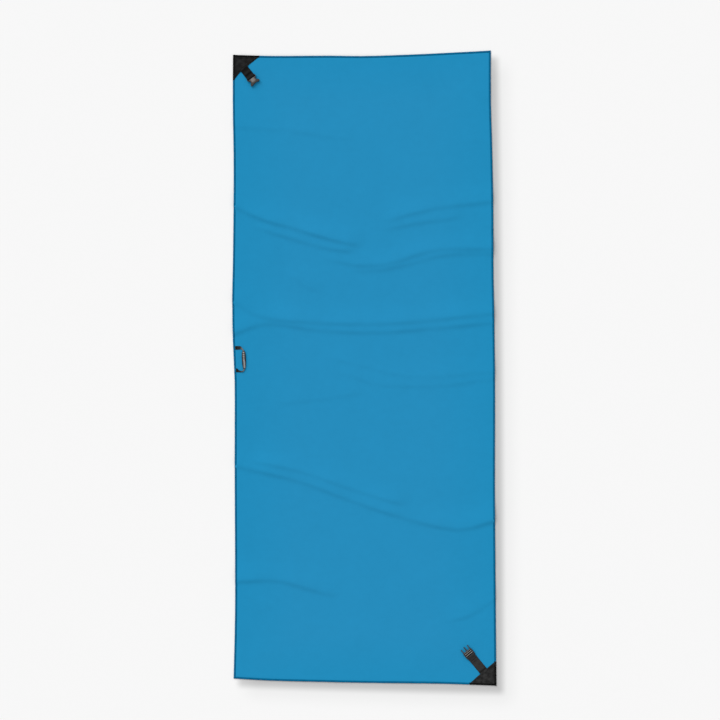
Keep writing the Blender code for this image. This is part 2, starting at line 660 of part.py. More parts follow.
def build_label(parts, cutters, hinge, origin):
    """The sleeve folded round the gathered tape."""
    top, bottom = Vector(LABEL_TOP), Vector(LABEL_BOTTOM)
    along = bottom - top
    heading = math.atan2(along.y, along.x)
    place = Vector((top.x, top.y, LAID_HEIGHT + LABEL_HEIGHT / 2)) - origin
    half = [(x, y, "round") for x, y in scaled(LABEL_HALF_OUTLINE)]
    outline = half + [(x, -y, kind) for x, y, kind in reversed(half)]
    label = plate("hang_loop_label", [outline], LABEL_HEIGHT, parts, rounding=LABEL_ROUNDING,
                  resolution=3, spec=LABEL_CLOTH, parent=hinge, location=place,
                  rotation=(0, 0, heading))
    half_width, half_height = (size / 2 for size in LABEL_CHANNEL)
    channel = box("label_channel", (-OVERSHOOT, -half_width, -half_height),
                  (along.length + OVERSHOOT, half_width, half_height), cutters, parent=hinge, location=place,
                  rotation=(0, 0, heading))
    combine(label, channel, "DIFFERENCE")


def build_hang_loop(parts, cutters):
    upper, lower = roots = [loop_root(key) for key in LOOP_ROOT_Y]
    step = Vector((LOOP_ROOT_LENGTH + GAP / 2, 0.0))
    middle = (upper + lower) / 2 + step
    origin = Vector((middle.x, middle.y, LOOP_HINGE_HEIGHT))
    hinge = add_empty("hang_loop_hinge", cutters, origin)
    build_tape(parts, hinge, origin, roots)
    build_label(parts, cutters, hinge, origin)
    for key, root in zip(LOOP_ROOT_Y, roots):
        low = LAID_HEIGHT
        top = low + TAPE_THICKNESS
        box("hang_loop_root_" + key, (root.x, root.y - TAPE_WIDTH / 2, low),
            (root.x + LOOP_ROOT_LENGTH, root.y + TAPE_WIDTH / 2, top), parts, spec=WEBBING)
        centre = root.x + LOOP_ROOT_LENGTH / 2
        pad = box("hang_loop_bartack_" + key,
                  (centre - TACK_DEPTH / 2, root.y - LOOP_TACK_WIDTH / 2, top + GAP),
                  (centre + TACK_DEPTH / 2, root.y + LOOP_TACK_WIDTH / 2, top + GAP + TACK_THICKNESS),
                  parts, spec=BLACK_THREAD)
        round_edges(pad, TACK_ROUNDING)


def main():
    clear_scene()
    parts = new_collection("quick_dry_towel")
    cutters = new_collection("cutters_and_guides")
    build_sheet(parts, cutters)
    build_hems(parts, cutters)
    bars = {key: build_strap(key, corner, parts, cutters) for key, corner in CORNERS.items()}
    build_socket(parts, cutters, bars["upper"])
    build_plug(parts, cutters, bars["lower"])
    build_hang_loop(parts, cutters)


main()
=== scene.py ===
"""Looks of the quick dry towel: a microfibre sheet laid flat on a pale floor, seen from straight above.

Metres, in the CAD's frame: +X across the towel, +Y along it, +Z up. Pieces that lie on the towel
are made in their own local frame (along, across, height) and placed by a Place.
"""
import math

import bpy
import numpy as np
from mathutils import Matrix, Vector, noise


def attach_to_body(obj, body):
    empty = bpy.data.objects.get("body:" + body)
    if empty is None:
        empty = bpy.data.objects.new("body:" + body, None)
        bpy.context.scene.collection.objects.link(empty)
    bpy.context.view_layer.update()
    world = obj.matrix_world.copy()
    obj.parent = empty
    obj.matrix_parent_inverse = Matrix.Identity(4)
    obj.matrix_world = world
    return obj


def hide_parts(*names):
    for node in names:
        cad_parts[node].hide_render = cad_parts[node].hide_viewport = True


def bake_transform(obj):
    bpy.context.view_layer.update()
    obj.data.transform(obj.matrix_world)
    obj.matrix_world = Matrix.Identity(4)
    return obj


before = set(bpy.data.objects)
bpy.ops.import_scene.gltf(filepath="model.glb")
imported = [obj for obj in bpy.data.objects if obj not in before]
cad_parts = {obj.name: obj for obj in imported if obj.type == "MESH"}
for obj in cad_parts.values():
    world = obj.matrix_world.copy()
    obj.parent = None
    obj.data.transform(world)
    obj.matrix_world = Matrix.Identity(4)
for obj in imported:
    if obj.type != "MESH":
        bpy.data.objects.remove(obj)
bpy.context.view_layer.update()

MM = 0.001

# ---- camera: straight above, far enough for the whole towel with the floor round it
LENS = 85.0
SENSOR = 36.0
VIEW_WIDTH = 2.1096
VIEW_CENTRE = (-0.0127, 0.0237)

# ---- outline, as the CAD has it
LOWER_LEFT = (-0.3830, -0.9098)
LOWER_RIGHT = (0.3870, -0.9304)
UPPER_RIGHT = (0.3708, 0.9304)
UPPER_LEFT = (-0.3848, 0.9178)
SIDES = {
    "bottom": [LOWER_LEFT, (-0.276, -0.9158), (-0.15, -0.9188), (0.0, -0.9222), (0.235, -0.9252),
               LOWER_RIGHT],
    "right": [LOWER_RIGHT, (0.3843, -0.621), (0.3824, -0.34), (0.3829, -0.09), (0.3817, 0.082),
              (0.378, 0.317), (0.378, 0.434), (0.3738, 0.668), (0.3705, 0.785), UPPER_RIGHT],
    "top": [UPPER_RIGHT, (0.235, 0.9232), (0.075, 0.9163), (-0.013, 0.9141), (-0.101, 0.9154),
            (-0.189, 0.9147), (-0.276, 0.9146), UPPER_LEFT],
    "left": [UPPER_LEFT, (-0.3854, 0.785), (-0.3829, 0.62), (-0.3849, 0.317), (-0.387, 0.2),
             (-0.3852, 0.082), (-0.3801, -0.035), (-0.3797, -0.16), (-0.3799, -0.29),
             (-0.3789, -0.504), (-0.3787, -0.72), LOWER_LEFT],
}
OUTLINE_STEP = 0.060

# ---- cloth
SHEET_TOP = 1.8 * MM
SHEET_INSET = 2.0 * MM  # the cloth's cut edge, inside the overlock
GRID_STEP = 5.0 * MM
EDGE_STATIONS = [0.0, 2.2 * MM, 4.0 * MM, 7.0 * MM, 11.0 * MM]
EDGE_SQUEEZE = 9.0 * MM  # how far in the overlock flattens the cloth
HEM_WIDTH = 5.9 * MM
HEM_HEIGHT = 2.2 * MM
EDGING_HEIGHT = 2.9 * MM
LAID = 1.9 * MM  # underside of what lies on the cloth

# ---- folds that the cloth kept: each is the foot of a low ridge's far side, and how strong it is
RIDGES = [
    (2.6, [(-0.374, 0.467), (-0.291, 0.431), (-0.215, 0.41), (-0.109, 0.378), (0.004, 0.352)]),
    (1.6, [(-0.335, 0.416), (-0.215, 0.378), (-0.109, 0.349), (-0.004, 0.337)]),
    (1.3, [(0.046, 0.425), (0.204, 0.465), (0.375, 0.486)]),
    (1.1, [(0.04, 0.4), (0.151, 0.422), (0.301, 0.443)]),
    (1.2, [(-0.139, 0.326), (-0.004, 0.299), (0.055, 0.302), (0.201, 0.343), (0.375, 0.347)]),
    (1.1, [(-0.051, 0.285), (0.037, 0.285), (0.125, 0.302), (0.213, 0.326), (0.375, 0.334)]),
    (1.2, [(-0.238, 0.296), (-0.209, 0.264), (-0.121, 0.211)]),
    (1.4, [(-0.38, 0.19), (-0.326, 0.159), (-0.13, 0.132), (0.046, 0.129), (0.375, 0.158)]),
    (1.4, [(-0.38, 0.098), (-0.315, 0.123), (-0.13, 0.109), (0.017, 0.103), (0.201, 0.115),
            (0.375, 0.131)]),
    (0.6, [(-0.109, 0.033), (0.008, 0.0), (0.104, -0.023), (0.375, -0.014)]),
    (0.7, [(-0.08, -0.006), (0.008, -0.041), (0.184, -0.055), (0.375, -0.034)]),
    (0.5, [(-0.276, -0.108), (-0.109, -0.091), (0.017, -0.07)]),
    (1.8, [(-0.372, -0.29), (-0.18, -0.337), (-0.033, -0.392), (0.104, -0.437),
            (0.192, -0.461), (0.28, -0.474), (0.378, -0.45)]),
    (1.4, [(-0.344, -0.269), (-0.18, -0.307), (-0.033, -0.357), (0.104, -0.398), (0.14, -0.406)]),
    (1.7, [(-0.376, -0.627), (-0.238, -0.627), (-0.159, -0.65), (-0.063, -0.674)]),
    (0.6, [(-0.315, -0.718), (-0.276, -0.703), (-0.238, -0.712)]),
    (0.3, [(-0.376, -0.782), (-0.306, -0.782)]),
    (0.9, [(0.23, -0.747), (0.301, -0.729), (0.382, -0.68)]),
    (0.35, [(0.27, 0.83), (0.375, 0.782)]),
    (0.6, [(-0.379, 0.705), (-0.25, 0.697), (-0.11, 0.677), (-0.013, 0.668)]),
    (0.3, [(0.26, 0.668), (0.375, 0.658)]),
]
RIDGE_HEIGHT = 2.2 * MM
RIDGE_NEAR = 38.0 * MM  # width of the slope towards the light
RIDGE_FAR = 8.0 * MM  # and of the steeper one away from it
RIDGE_TAPER = 62.0 * MM
RIDGE_OPEN = 0.365  # a ridge that ends further out than this runs on over the hem
SWELL = 0.9 * MM
CALM = [  # places where something lies on the cloth: x, y, half sizes
    (-0.335, 0.865, 0.070, 0.065), (0.325, -0.855, 0.080, 0.085), (-0.365, 0.026, 0.022, 0.050),
]
CALM_FADE = 0.035

# ---- straps and panels, as the CAD has them
WEBBING_WIDTH = 25.4 * MM
WEBBING_THICKNESS = 1.5 * MM
ROOT_LENGTH = 20.0 * MM
BAR_HEIGHT = 5.0 * MM
EYE_RADIUS = 1.6 * MM
TAIL_LENGTH = 18.0 * MM
FOLD_HEIGHT = 4.4 * MM  # of the axis that a strap folds back on, at its panel's edge
FOLD_LENGTH = 5.0 * MM
STRAP_END = (3.4 * MM, 16.4 * MM)  # from the plug's bar
STRAP_END_HEIGHT = 3.35 * MM

# ---- painted highlights of the buckle: colour, then start, end and fading, along from the strap's bar
# ---- and across the strap
SOCKET_NECK_HIGHLIGHT = ((0.185, 0.172, 0.162), (2.0 * MM, 15.0 * MM, 2.0 * MM), (-6.0 * MM, 6.0 * MM, 2.5 * MM))
PLUG_BAR_HIGHLIGHTS = [
    ((0.46, 0.4462, 0.4324), (6.3 * MM, 7.1 * MM, 0.4 * MM), (-11.5 * MM, 11.5 * MM, 0.8 * MM)),
    ((0.46, 0.4462, 0.4324), (12.1 * MM, 12.9 * MM, 0.4 * MM), (-11.5 * MM, 11.5 * MM, 0.8 * MM)),
    ((0.20, 0.1940, 0.1880), (16.4 * MM, 17.6 * MM, 0.4 * MM), (-10.5 * MM, 10.5 * MM, 0.8 * MM)),
]

# ---- corners: which sides meet, how far the panel goes along each, and the strap's mouth, heading,
# ---- free length, and how far the panel's front slants forward past the strap
CORNERS = {
    "upper": {"sides": ("top", "left"), "legs": (0.0772, 0.0740), "mouth": (-0.3522, 0.8769),
              "heading": math.radians(-52.0), "reach": 32.9 * MM, "slant": 1.2 * MM},
    "lower": {"sides": ("bottom", "right"), "legs": (0.0792, 0.0710), "mouth": (0.3493, -0.8878),
              "heading": math.radians(129.6), "reach": 58.9 * MM, "slant": 0.0},
}


# ======== lines
def smooth_line(points, step):
    """Points about a step apart on one smooth curve through the given points."""
    knots = [Vector(point) for point in points]
    chords = [(b - a).length for a, b in zip(knots, knots[1:])]
    slopes = [(b - a) / d for a, b, d in zip(knots, knots[1:], chords)]
    tangents = [slopes[0]]
    for before, after, d0, d1 in zip(slopes, slopes[1:], chords, chords[1:]):
        tangents.append((before * d1 + after * d0) / (d0 + d1))
    tangents.append(slopes[-1])
    line = []
    for i, chord in enumerate(chords):
        count = max(2, round(chord / step))
        for k in range(count):
            t = k / count
            line.append(knots[i] * (1 + 2 * t) * (1 - t) ** 2 + tangents[i] * chord * t * (1 - t) ** 2
                        + knots[i + 1] * t * t * (3 - 2 * t) - tangents[i + 1] * chord * t * t * (1 - t))
    line.append(knots[-1])
    return np.array([tuple(point) for point in line])


def lengths_along(line):
    return np.concatenate([[0.0], np.cumsum(np.linalg.norm(np.diff(line, axis=0), axis=1))])


def at_lengths(line, wanted):
    """The points of a line at the given distances from its start."""
    along = lengths_along(line)
    return np.stack([np.interp(wanted, along, line[:, k]) for k in range(line.shape[1])], axis=1)


def resampled(line, step):
    total = lengths_along(line)[-1]
    return at_lengths(line, np.linspace(0.0, total, max(2, round(total / step)) + 1))


def directions(line):
    """Unit tangents of a line."""
    tangent = np.gradient(line, axis=0)
    return tangent / np.linalg.norm(tangent, axis=1)[:, None]


def left_normals(line):
    tangent = directions(line)
    return np.stack([-tangent[:, 1], tangent[:, 0]], axis=1)


def smooth_step(value):
    value = np.clip(value, 0.0, 1.0)
    return value * value * (3 - 2 * value)


SIDE_LINES = {name: smooth_line(points, OUTLINE_STEP) for name, points in SIDES.items()}


def inset_corner(before, corner, after, distance):
    """A corner of an anticlockwise outline moved inwards."""
    first = np.array([before[1] - corner[1], corner[0] - before[0]])
    second = np.array([corner[1] - after[1], after[0] - corner[0]])
    first /= np.linalg.norm(first)
    second /= np.linalg.norm(second)
    return corner + (first + second) * distance / (1 + first @ second)


def inset_sides(distance):
    """The four sides moved inwards, with their shared corners."""
    names = list(SIDES)
    moved = {name: SIDE_LINES[name] + left_normals(SIDE_LINES[name]) * distance for name in names}
    for name, following in zip(names, names[1:] + names[:1]):
        line, after = SIDE_LINES[name], SIDE_LINES[following]
        corner = inset_corner(line[-2], line[-1], after[1], distance)
        moved[name][-1] = corner
        moved[following][0] = corner
    return moved


# ======== the cloth's relief
def ridge_field(points, strength, path):
    """Height of one ridge at each point."""
    line = smooth_line(path, 0.02)
    along = lengths_along(line)
    best = np.full(len(points), 1e9)
    signed = np.zeros(len(points))
    place = np.zeros(len(points))
    for k in range(len(line) - 1):
        start, step = line[k], line[k + 1] - line[k]
        span = np.linalg.norm(step)
        step = step / span
        rel = points - start
        run = np.clip(rel @ step, 0.0, span)
        offset = rel - run[:, None] * step
        distance = np.linalg.norm(offset, axis=1)
        nearer = distance < best
        best = np.where(nearer, distance, best)
        side = np.sign(step[0] * rel[:, 1] - step[1] * rel[:, 0])
        signed = np.where(nearer, distance * side, signed)
        place = np.where(nearer, along[k] + run, place)
    signed = signed - 0.7 * RIDGE_FAR
    width = np.where(signed > 0, RIDGE_NEAR, RIDGE_FAR)
    from_start, from_end = (smooth_step(past / RIDGE_TAPER) for past in (place, along[-1] - place))
    taper = from_start * from_end
    first_half = place < along[-1] / 2
    if abs(path[0][0]) > RIDGE_OPEN:
        taper = np.where(first_half, from_end, taper)
    if abs(path[-1][0]) > RIDGE_OPEN:
        taper = np.where(first_half, taper, from_start)
    variation = 0.82 + 0.18 * np.sin(place * 38.0 + 9.0 * path[0][1])
    return RIDGE_HEIGHT * strength * taper * variation * np.exp(-(signed / width) ** 2)


def calm(points):
    """0 where something lies on the cloth, 1 away from it."""
    free = np.ones(len(points))
    for x, y, half_x, half_y in CALM:
        past = np.maximum(np.abs(points[:, 0] - x) - half_x, np.abs(points[:, 1] - y) - half_y)
        free *= smooth_step(past / CALM_FADE)
    return free


def relief(points):
    """How far the cloth stands off the floor at each point."""
    height = np.zeros(len(points))
    for strength, path in RIDGES:
        height += ridge_field(points, strength, path)
    swell = np.array([noise.noise(Vector((x * 7.0, y * 5.0, 3.1)))
                      + 0.35 * noise.noise(Vector((x * 24.0, y * 19.0, 8.7))) for x, y in points])
    height += SWELL * np.clip(swell + 0.12, 0.0, None)
    return height * calm(points)


# ======== mesh helpers
THREAD_SIDES = 6


def mesh_object(name, verts, faces, material, uvs=None):
    mesh = bpy.data.meshes.new(name)
    mesh.from_pydata(np.asarray(verts, float).tolist(), [], faces)
    mesh.validate()
    if uvs is not None:
        layer = mesh.uv_layers.new(name="weave")
        loops = np.empty(len(mesh.loops), dtype=np.int64)
        mesh.loops.foreach_get("vertex_index", loops)
        layer.data.foreach_set("uv", np.asarray(uvs, float)[loops].ravel())
    mesh.materials.append(material)
    mesh.polygons.foreach_set("use_smooth", [True] * len(mesh.polygons))
    mesh.update()
    obj = bpy.data.objects.new(name, mesh)
    bpy.context.scene.collection.objects.link(obj)
    return obj


def rounded_section(count, flat, steep):
    """A round section's points across and up, -1 to 1. The lower the two powers, the squarer it is."""
    turn = np.arange(count) * 2 * math.pi / count
    across = np.sign(np.cos(turn)) * np.abs(np.cos(turn)) ** flat
    return across, np.sign(np.sin(turn)) * np.abs(np.sin(turn)) ** steep


def averaged(values, count):
    """A running mean over an odd number of values."""
    return np.convolve(np.pad(values, count // 2, mode="edge"), np.ones(count) / count, mode="valid")


def point_values(obj, name, values):
    """Keep one number for each vertex, for the material to read."""
    attribute = obj.data.attributes.new(name, "FLOAT", "POINT")
    attribute.data.foreach_set("value", np.asarray(values, np.float32).ravel())


def slab_faces(rows, columns):
    """Faces of an upper grid, of a lower one with the same layout, and between their borders."""
    count = rows * columns
    index = np.arange(count).reshape(rows, columns)
    quads = np.stack([index[:-1, :-1], index[:-1, 1:], index[1:, 1:], index[1:, :-1]], axis=-1).reshape(-1, 4)
    rim = np.concatenate([index[0, :], index[1:, -1], index[-1, -2::-1], index[-2:0:-1, 0]])
    after = np.roll(rim, -1)
    sides = np.stack([rim, rim + count, after + count, after], axis=-1)
    return np.concatenate([quads, quads[:, ::-1] + count, sides]).tolist()


def swept_faces(rings, size, offset=0):
    """Faces between closed rings, with both ends capped."""
    index = np.arange(rings * size).reshape(rings, size) + offset
    after = np.roll(index, -1, axis=1)
    quads = np.stack([index[:-1], after[:-1], after[1:], index[1:]], axis=-1).reshape(-1, 4).tolist()
    return quads + [index[0][::-1].tolist(), index[-1].tolist()]


def tube(path, radius):
    """Rings of a round tube along a path."""
    tangent = directions(path)
    across = np.cross(tangent, (0.0, 0.0, 1.0))
    across /= np.maximum(np.linalg.norm(across, axis=1), 1e-9)[:, None]
    lift = np.cross(across, tangent)
    turn = np.arange(THREAD_SIDES)[:, None] * 2 * math.pi / THREAD_SIDES
    ring = across[:, None] * np.cos(turn) + lift[:, None] * np.sin(turn)
    return path[:, None] + ring * radius


def tubes_object(name, paths, radius, material):
    """One mesh of many separate threads."""
    verts, faces, count = [], [], 0
    for path in paths:
        rings = tube(path, radius)
        verts.append(rings.reshape(-1, 3))
        faces += swept_faces(len(rings), THREAD_SIDES, count)
        count += len(path) * THREAD_SIDES
    return mesh_object(name, np.concatenate(verts), faces, material)


class Place:
    """A local frame that lies on the towel: along, across, and height from the floor."""

    def __init__(self, origin, heading):
        self.origin = np.array(origin, float)
        self.along = np.array([math.cos(heading), math.sin(heading)])
        self.across = np.array([-math.sin(heading), math.cos(heading)])

    def world(self, local):
        local = np.asarray(local, float)
        flat = (self.origin + local[..., :1] * self.along + local[..., 1:2] * self.across)
        return np.concatenate([flat, local[..., 2:3]], axis=-1)

    def local(self, flat):
        rel = np.asarray(flat, float) - self.origin
        return np.stack([rel @ self.along, rel @ self.across], axis=-1)


# ======== materials
class Nodes:
    """Short names for building one material."""

    def __init__(self, name, roughness, **fixed):
        self.material = bpy.data.materials.new(name)
        self.material.use_nodes = True
        self.tree = self.material.node_tree
        self.shader = self.tree.nodes["Principled BSDF"]
        self.shader.inputs["Roughness"].default_value = roughness
        for socket, value in fixed.items():
            self.shader.inputs[socket.replace("_", " ")].default_value = value

    def node(self, kind, inputs=(), **settings):
        """A node with its inputs linked or set, each by its name or its number."""
        made = self.tree.nodes.new("ShaderNode" + kind)
        for key, value in settings.items():
            setattr(made, key, value)
        for socket, value in dict(inputs).items():
            if isinstance(value, bpy.types.NodeSocket):
                self.tree.links.new(value, made.inputs[socket])
            else:
                made.inputs[socket].default_value = value
        return made

    def attribute(self, name):
        return self.node("Attribute", attribute_name=name).outputs["Fac"]

    def link(self, output, socket):
        self.tree.links.new(output, self.shader.inputs[socket])

    def place(self):
        return self.node("TexCoord").outputs["Object"]

    def weave_map(self):
        return self.node("UVMap", uv_map="weave").outputs[0]

    def noise(self, place, scale, detail=2.0, roughness=0.5):
        return self.node("TexNoise", {"Vector": place, "Scale": scale, "Detail": detail,
                                      "Roughness": roughness}).outputs["Fac"]

    def stretch(self, place, scale):
        return self.node("Mapping", {"Vector": place, "Scale": scale}).outputs[0]

    def waves(self, place, scale, direction, **inputs):
        """Parallel bands across one direction of the place."""
        return self.node("TexWave", {"Vector": place, "Scale": scale, **inputs},
                         bands_direction=direction).outputs["Fac"]

    def math(self, operation, first, second=0.0, third=0.0):
        return self.node("Math", {0: first, 1: second, 2: third}, operation=operation).outputs[0]

    def weighed(self, first, share, second):
        """The first value times its share, and the second times the rest."""
        return self.math("MULTIPLY_ADD", first, share, self.math("MULTIPLY", second, 1.0 - share))

    def slope(self, value, low, high, start=0.0, end=1.0, **settings):
        """From start to end as value goes from low to high."""
        return self.node("MapRange", {"Value": value, "From Min": low, "From Max": high, "To Min": start,
                                      "To Max": end}, **settings).outputs[0]

    def ramp(self, value, low, high, dark, light):
        """From the dark colour to the light one as value goes from low to high."""
        return self.mix(self.slope(value, low, high), dark, light)

    def mix(self, share, first, second, **settings):
        """Two colours mixed: a Mix node's colour inputs are numbers 6 and 7, and its result is 2."""
        return self.node("Mix", {0: share, 6: first, 7: second}, data_type="RGBA", **settings).outputs[2]

    def bump(self, height, distance, strength=1.0, under=None):
        inputs = {"Height": height, "Distance": distance, "Strength": strength}
        if under is not None:
            inputs["Normal"] = under
        return self.node("Bump", inputs).outputs[0]


def shade(colour, factor):
    return (*(min(1.0, part * factor) for part in colour), 1.0)


def microfibre():
    """Brushed microfibre: a dense short nap over a fine knit."""
    blue = (0.0175, 0.2500, 0.4820)
    made = Nodes("microfibre_blue", 0.92, Specular_IOR_Level=0.05)
    place = made.place()
    nap = made.noise(place, 9.0, 5.0, 0.62)
    patches = made.noise(made.stretch(place, (38.0, 60.0, 38.0)), 1.0, 3.0, 0.6)
    fibres = made.noise(made.stretch(place, (1500.0, 900.0, 1500.0)), 1.0, 2.0, 0.7)
    tone = made.math("MULTIPLY_ADD", nap, 0.3, made.math("MULTIPLY", patches, 0.3))
    tone = made.math("MULTIPLY_ADD", fibres, 0.4, tone)
    colour = made.ramp(tone, 0.34, 0.66, shade(blue, 0.965), shade(blue, 1.035))
    split = made.node("SeparateXYZ", {"Vector": place})
    rim = 0.0
    for output, inner, outer in (("X", 0.20, 0.38), ("Y", 0.78, 0.93)):
        offset = made.math("ABSOLUTE", split.outputs[output])
        rim = made.math("MAXIMUM", made.slope(offset, inner, outer), rim)
    deeper = made.mix(1.0, colour, (0.78, 0.99, 0.99, 1.0), blend_type="MULTIPLY")
    made.link(made.mix(rim, colour, deeper), "Base Color")
    flat = made.stretch(place, (1.0, 1.0, 0.0))
    uneven = {"Distortion": 1.2, "Detail": 1.0, "Detail Scale": 3.0}
    knit = made.waves(flat, 190.0, "X", **uneven)
    rows = made.waves(flat, 230.0, "Y", **uneven)
    weave = made.bump(made.math("MULTIPLY", knit, rows), 0.12 * MM, 0.5)
    made.link(made.bump(fibres, 0.25 * MM, 0.5, weave), "Normal")
    return made.material


def thread(name, colour, shade_between_threads=False):
    """Overlock or stitching thread. With the flag set, the colour between two threads, where the attribute
    proud is 0, is painted dark as shade.
    """
    made = Nodes(name, 0.75, Specular_IOR_Level=0.05)
    place = made.place()
    fuzz = made.noise(place, 1800.0, 3.0, 0.7)
    long_change = made.noise(place, 60.0, 2.0)
    tone = made.weighed(fuzz, 0.6, long_change)
    base = made.ramp(tone, 0.35, 0.65, shade(colour, 0.75), shade(colour, 1.25))
    # painted shade: darker between two wraps, where proud is 0
    if shade_between_threads:
        base = made.mix(made.attribute("proud"), shade(colour, 0.35), base)
    made.link(base, "Base Color")
    made.link(made.bump(fuzz, 0.15 * MM, 0.6), "Normal")
    return made.material


def nylon(name, colour):
    """Plain woven nylon of the corner panels. Its weave map is in metres."""
    made = Nodes(name, 0.7, Specular_IOR_Level=0.1)
    place = made.weave_map()
    warp, weft = (made.waves(place, 260.0, direction, Distortion=0.6) for direction in "XY")
    weave = made.math("MAXIMUM", warp, weft)
    scuff = made.noise(place, 85.0, 2.0, 0.5)
    worn = made.ramp(scuff, 0.36, 0.64, shade(colour, 0.45), shade(colour, 1.6))
    # painted shade: the weave's hollows are darker
    made.link(made.mix(weave, shade(colour, 0.6), worn), "Base Color")
    made.link(made.bump(weave, 0.1 * MM, 0.7), "Normal")
    return made.material


def webbing(name, colour, light=None):
    """Nylon webbing with painted shade: raised yarns lighter than their hollows, and a darker band where a
    strap comes out of its panel. With a light colour, that colour is a painted highlight where the attribute
    gathered says the tape is folded into a cord.
    """
    made = Nodes(name, 0.65, Specular_IOR_Level=0.1)
    place = made.weave_map()
    yarn = made.noise(made.stretch(place, (900.0, 2600.0, 1.0)), 1.0, 2.0, 0.6)
    wear = made.noise(place, 110.0, 3.0, 0.6)
    tone = made.math("SUBTRACT", made.weighed(yarn, 0.5, wear), 0.09)
    # painted shade of the weave: raised yarns, where proud is high, are lighter than the hollows
    tone = made.math("MULTIPLY_ADD", made.attribute("proud"), 0.18, tone)
    base = made.ramp(tone, 0.35, 0.65, shade(colour, 0.6), shade(colour, 1.4))
    # painted shade: a darker band where the strap comes out from under its panel
    base = made.mix(made.attribute("mouth_shade"), base, shade(colour, 0.3))
    if light:
        # painted highlight: the light colour shows where the tape is folded into a cord
        pale = made.ramp(tone, 0.35, 0.65, shade(light, 0.72), shade(light, 1.2))
        base = made.mix(made.attribute("gathered"), base, pale)
    made.link(base, "Base Color")
    made.link(made.bump(yarn, 0.12 * MM, 0.6), "Normal")
    return made.material


def between(made, value, low, high, soft):
    """1 where a value lies between two limits, and 0 outside them."""
    rise = made.slope(value, low - soft, low + soft)
    return made.math("MULTIPLY", rise, made.slope(value, high - soft, high + soft, 1.0, 0.0))


def plastic(name, grey, corner=None, highlights=()):
    """Moulded acetal: fine spark texture, with painted shade where its faces look sideways.

    Each window is a band of painted highlight, given like the socket's neck above, at the end of a corner's
    strap.
    """
    made = Nodes(name, 0.42, Specular_IOR_Level=0.3)
    place = made.place()
    grain = made.noise(place, 2600.0, 2.0, 0.6)
    cloud = made.noise(place, 160.0, 3.0, 0.55)
    base = made.ramp(cloud, 0.3, 0.7, shade(grey, 0.8), shade(grey, 1.2))
    # painted highlights: lighter bands across the socket's neck and the plug's bars
    for highlight_colour, along, across in highlights:
        strap = strap_place(corner)
        inside = 1.0
        for heading, bar, (low, high, soft) in ((strap.along, corner["reach"], along),
                                                (strap.across, 0.0, across)):
            dot = made.node("VectorMath", {0: place, 1: (*heading, 0.0)}, operation="DOT_PRODUCT")
            zero = float(strap.origin @ heading) + bar
            window = between(made, dot.outputs["Value"], zero + low, zero + high, soft)
            inside = made.math("MULTIPLY", window, inside)
        base = made.mix(inside, base, made.ramp(cloud, 0.3, 0.7, shade(highlight_colour, 0.85), shade(highlight_colour, 1.15)))
    # painted shade: faces that look sideways are darkened, down to 0.35 of the grey
    facing = made.node("SeparateXYZ", {"Vector": made.node("NewGeometry").outputs["Normal"]}).outputs["Z"]
    made.link(made.ramp(facing, 0.3, 0.95, shade(grey, 0.35), base), "Base Color")
    made.link(made.bump(grain, 0.04 * MM, 0.5), "Normal")
    return made.material


def label_cloth():
    """Woven label: dark edges, a pale band down the middle, and plain woven bars on one half."""
    made = Nodes("label_cloth", 0.7, Specular_IOR_Level=0.12)
    place = made.weave_map()
    yarn = made.noise(made.stretch(place, (2400.0, 900.0, 1.0)), 1.0, 2.0, 0.6)
    tone = made.weighed(made.waves(place, 330.0, "X"), 0.5, yarn)
    dark = made.ramp(tone, 0.2, 0.8, (0.014, 0.014, 0.013, 1.0), (0.034, 0.033, 0.032, 1.0))
    pale = made.ramp(tone, 0.2, 0.8, (0.26, 0.26, 0.27, 1.0), (0.44, 0.44, 0.45, 1.0))
    made.link(made.mix(made.attribute("gathered"), dark, pale), "Base Color")
    made.link(made.bump(tone, 0.1 * MM, 0.6), "Normal")
    return made.material


BLUE_CLOTH = microfibre()
BLUE_THREAD = thread("overlock_blue", (0.001, 0.165, 0.345), shade_between_threads=True)
EDGING_THREAD = thread("overlock_black", (0.0045, 0.0045, 0.0045), shade_between_threads=True)
BLACK_THREAD = thread("stitch_black", (0.003, 0.003, 0.003))
TACK_THREAD = {"upper": BLACK_THREAD, "lower": thread("stitch_grey", (0.018, 0.018, 0.018))}
# painted light and shade: one black nylon and one black webbing, coloured darker at the upper corner and
# lighter at the lower one
PANEL_CLOTH = {"upper": nylon("nylon_upper_shaded", (0.0112, 0.0112, 0.0115)),
               "lower": nylon("nylon_lower_lit", (0.0240, 0.0240, 0.0240))}
STRAP_CLOTH = {"upper": webbing("webbing_upper_shaded", (0.0050, 0.0050, 0.0052)),
               "lower": webbing("webbing_lower_lit", (0.0262, 0.0262, 0.0258))}
# the strap's own webbing, painted near black: painted shade inside the plug's slots
SHADED_END_CLOTH = webbing("webbing_end_shaded", (0.003, 0.003, 0.003))
# the tape's second colour is a painted highlight on its folded cord
TAPE_CLOTH = webbing("webbing_tape", (0.018, 0.017, 0.016), (0.16, 0.16, 0.155))
LABEL_CLOTH = label_cloth()


# ======== towel
def edge_stations(length):
    """Distances across the towel: close together near both edges, even between."""
    near = EDGE_STATIONS
    inner = length - 2 * near[-1]
    count = round(inner / GRID_STEP)
    middle = [near[-1] + inner * k / count for k in range(1, count)]
    return np.array(near + middle + [length - value for value in reversed(near)]) / length


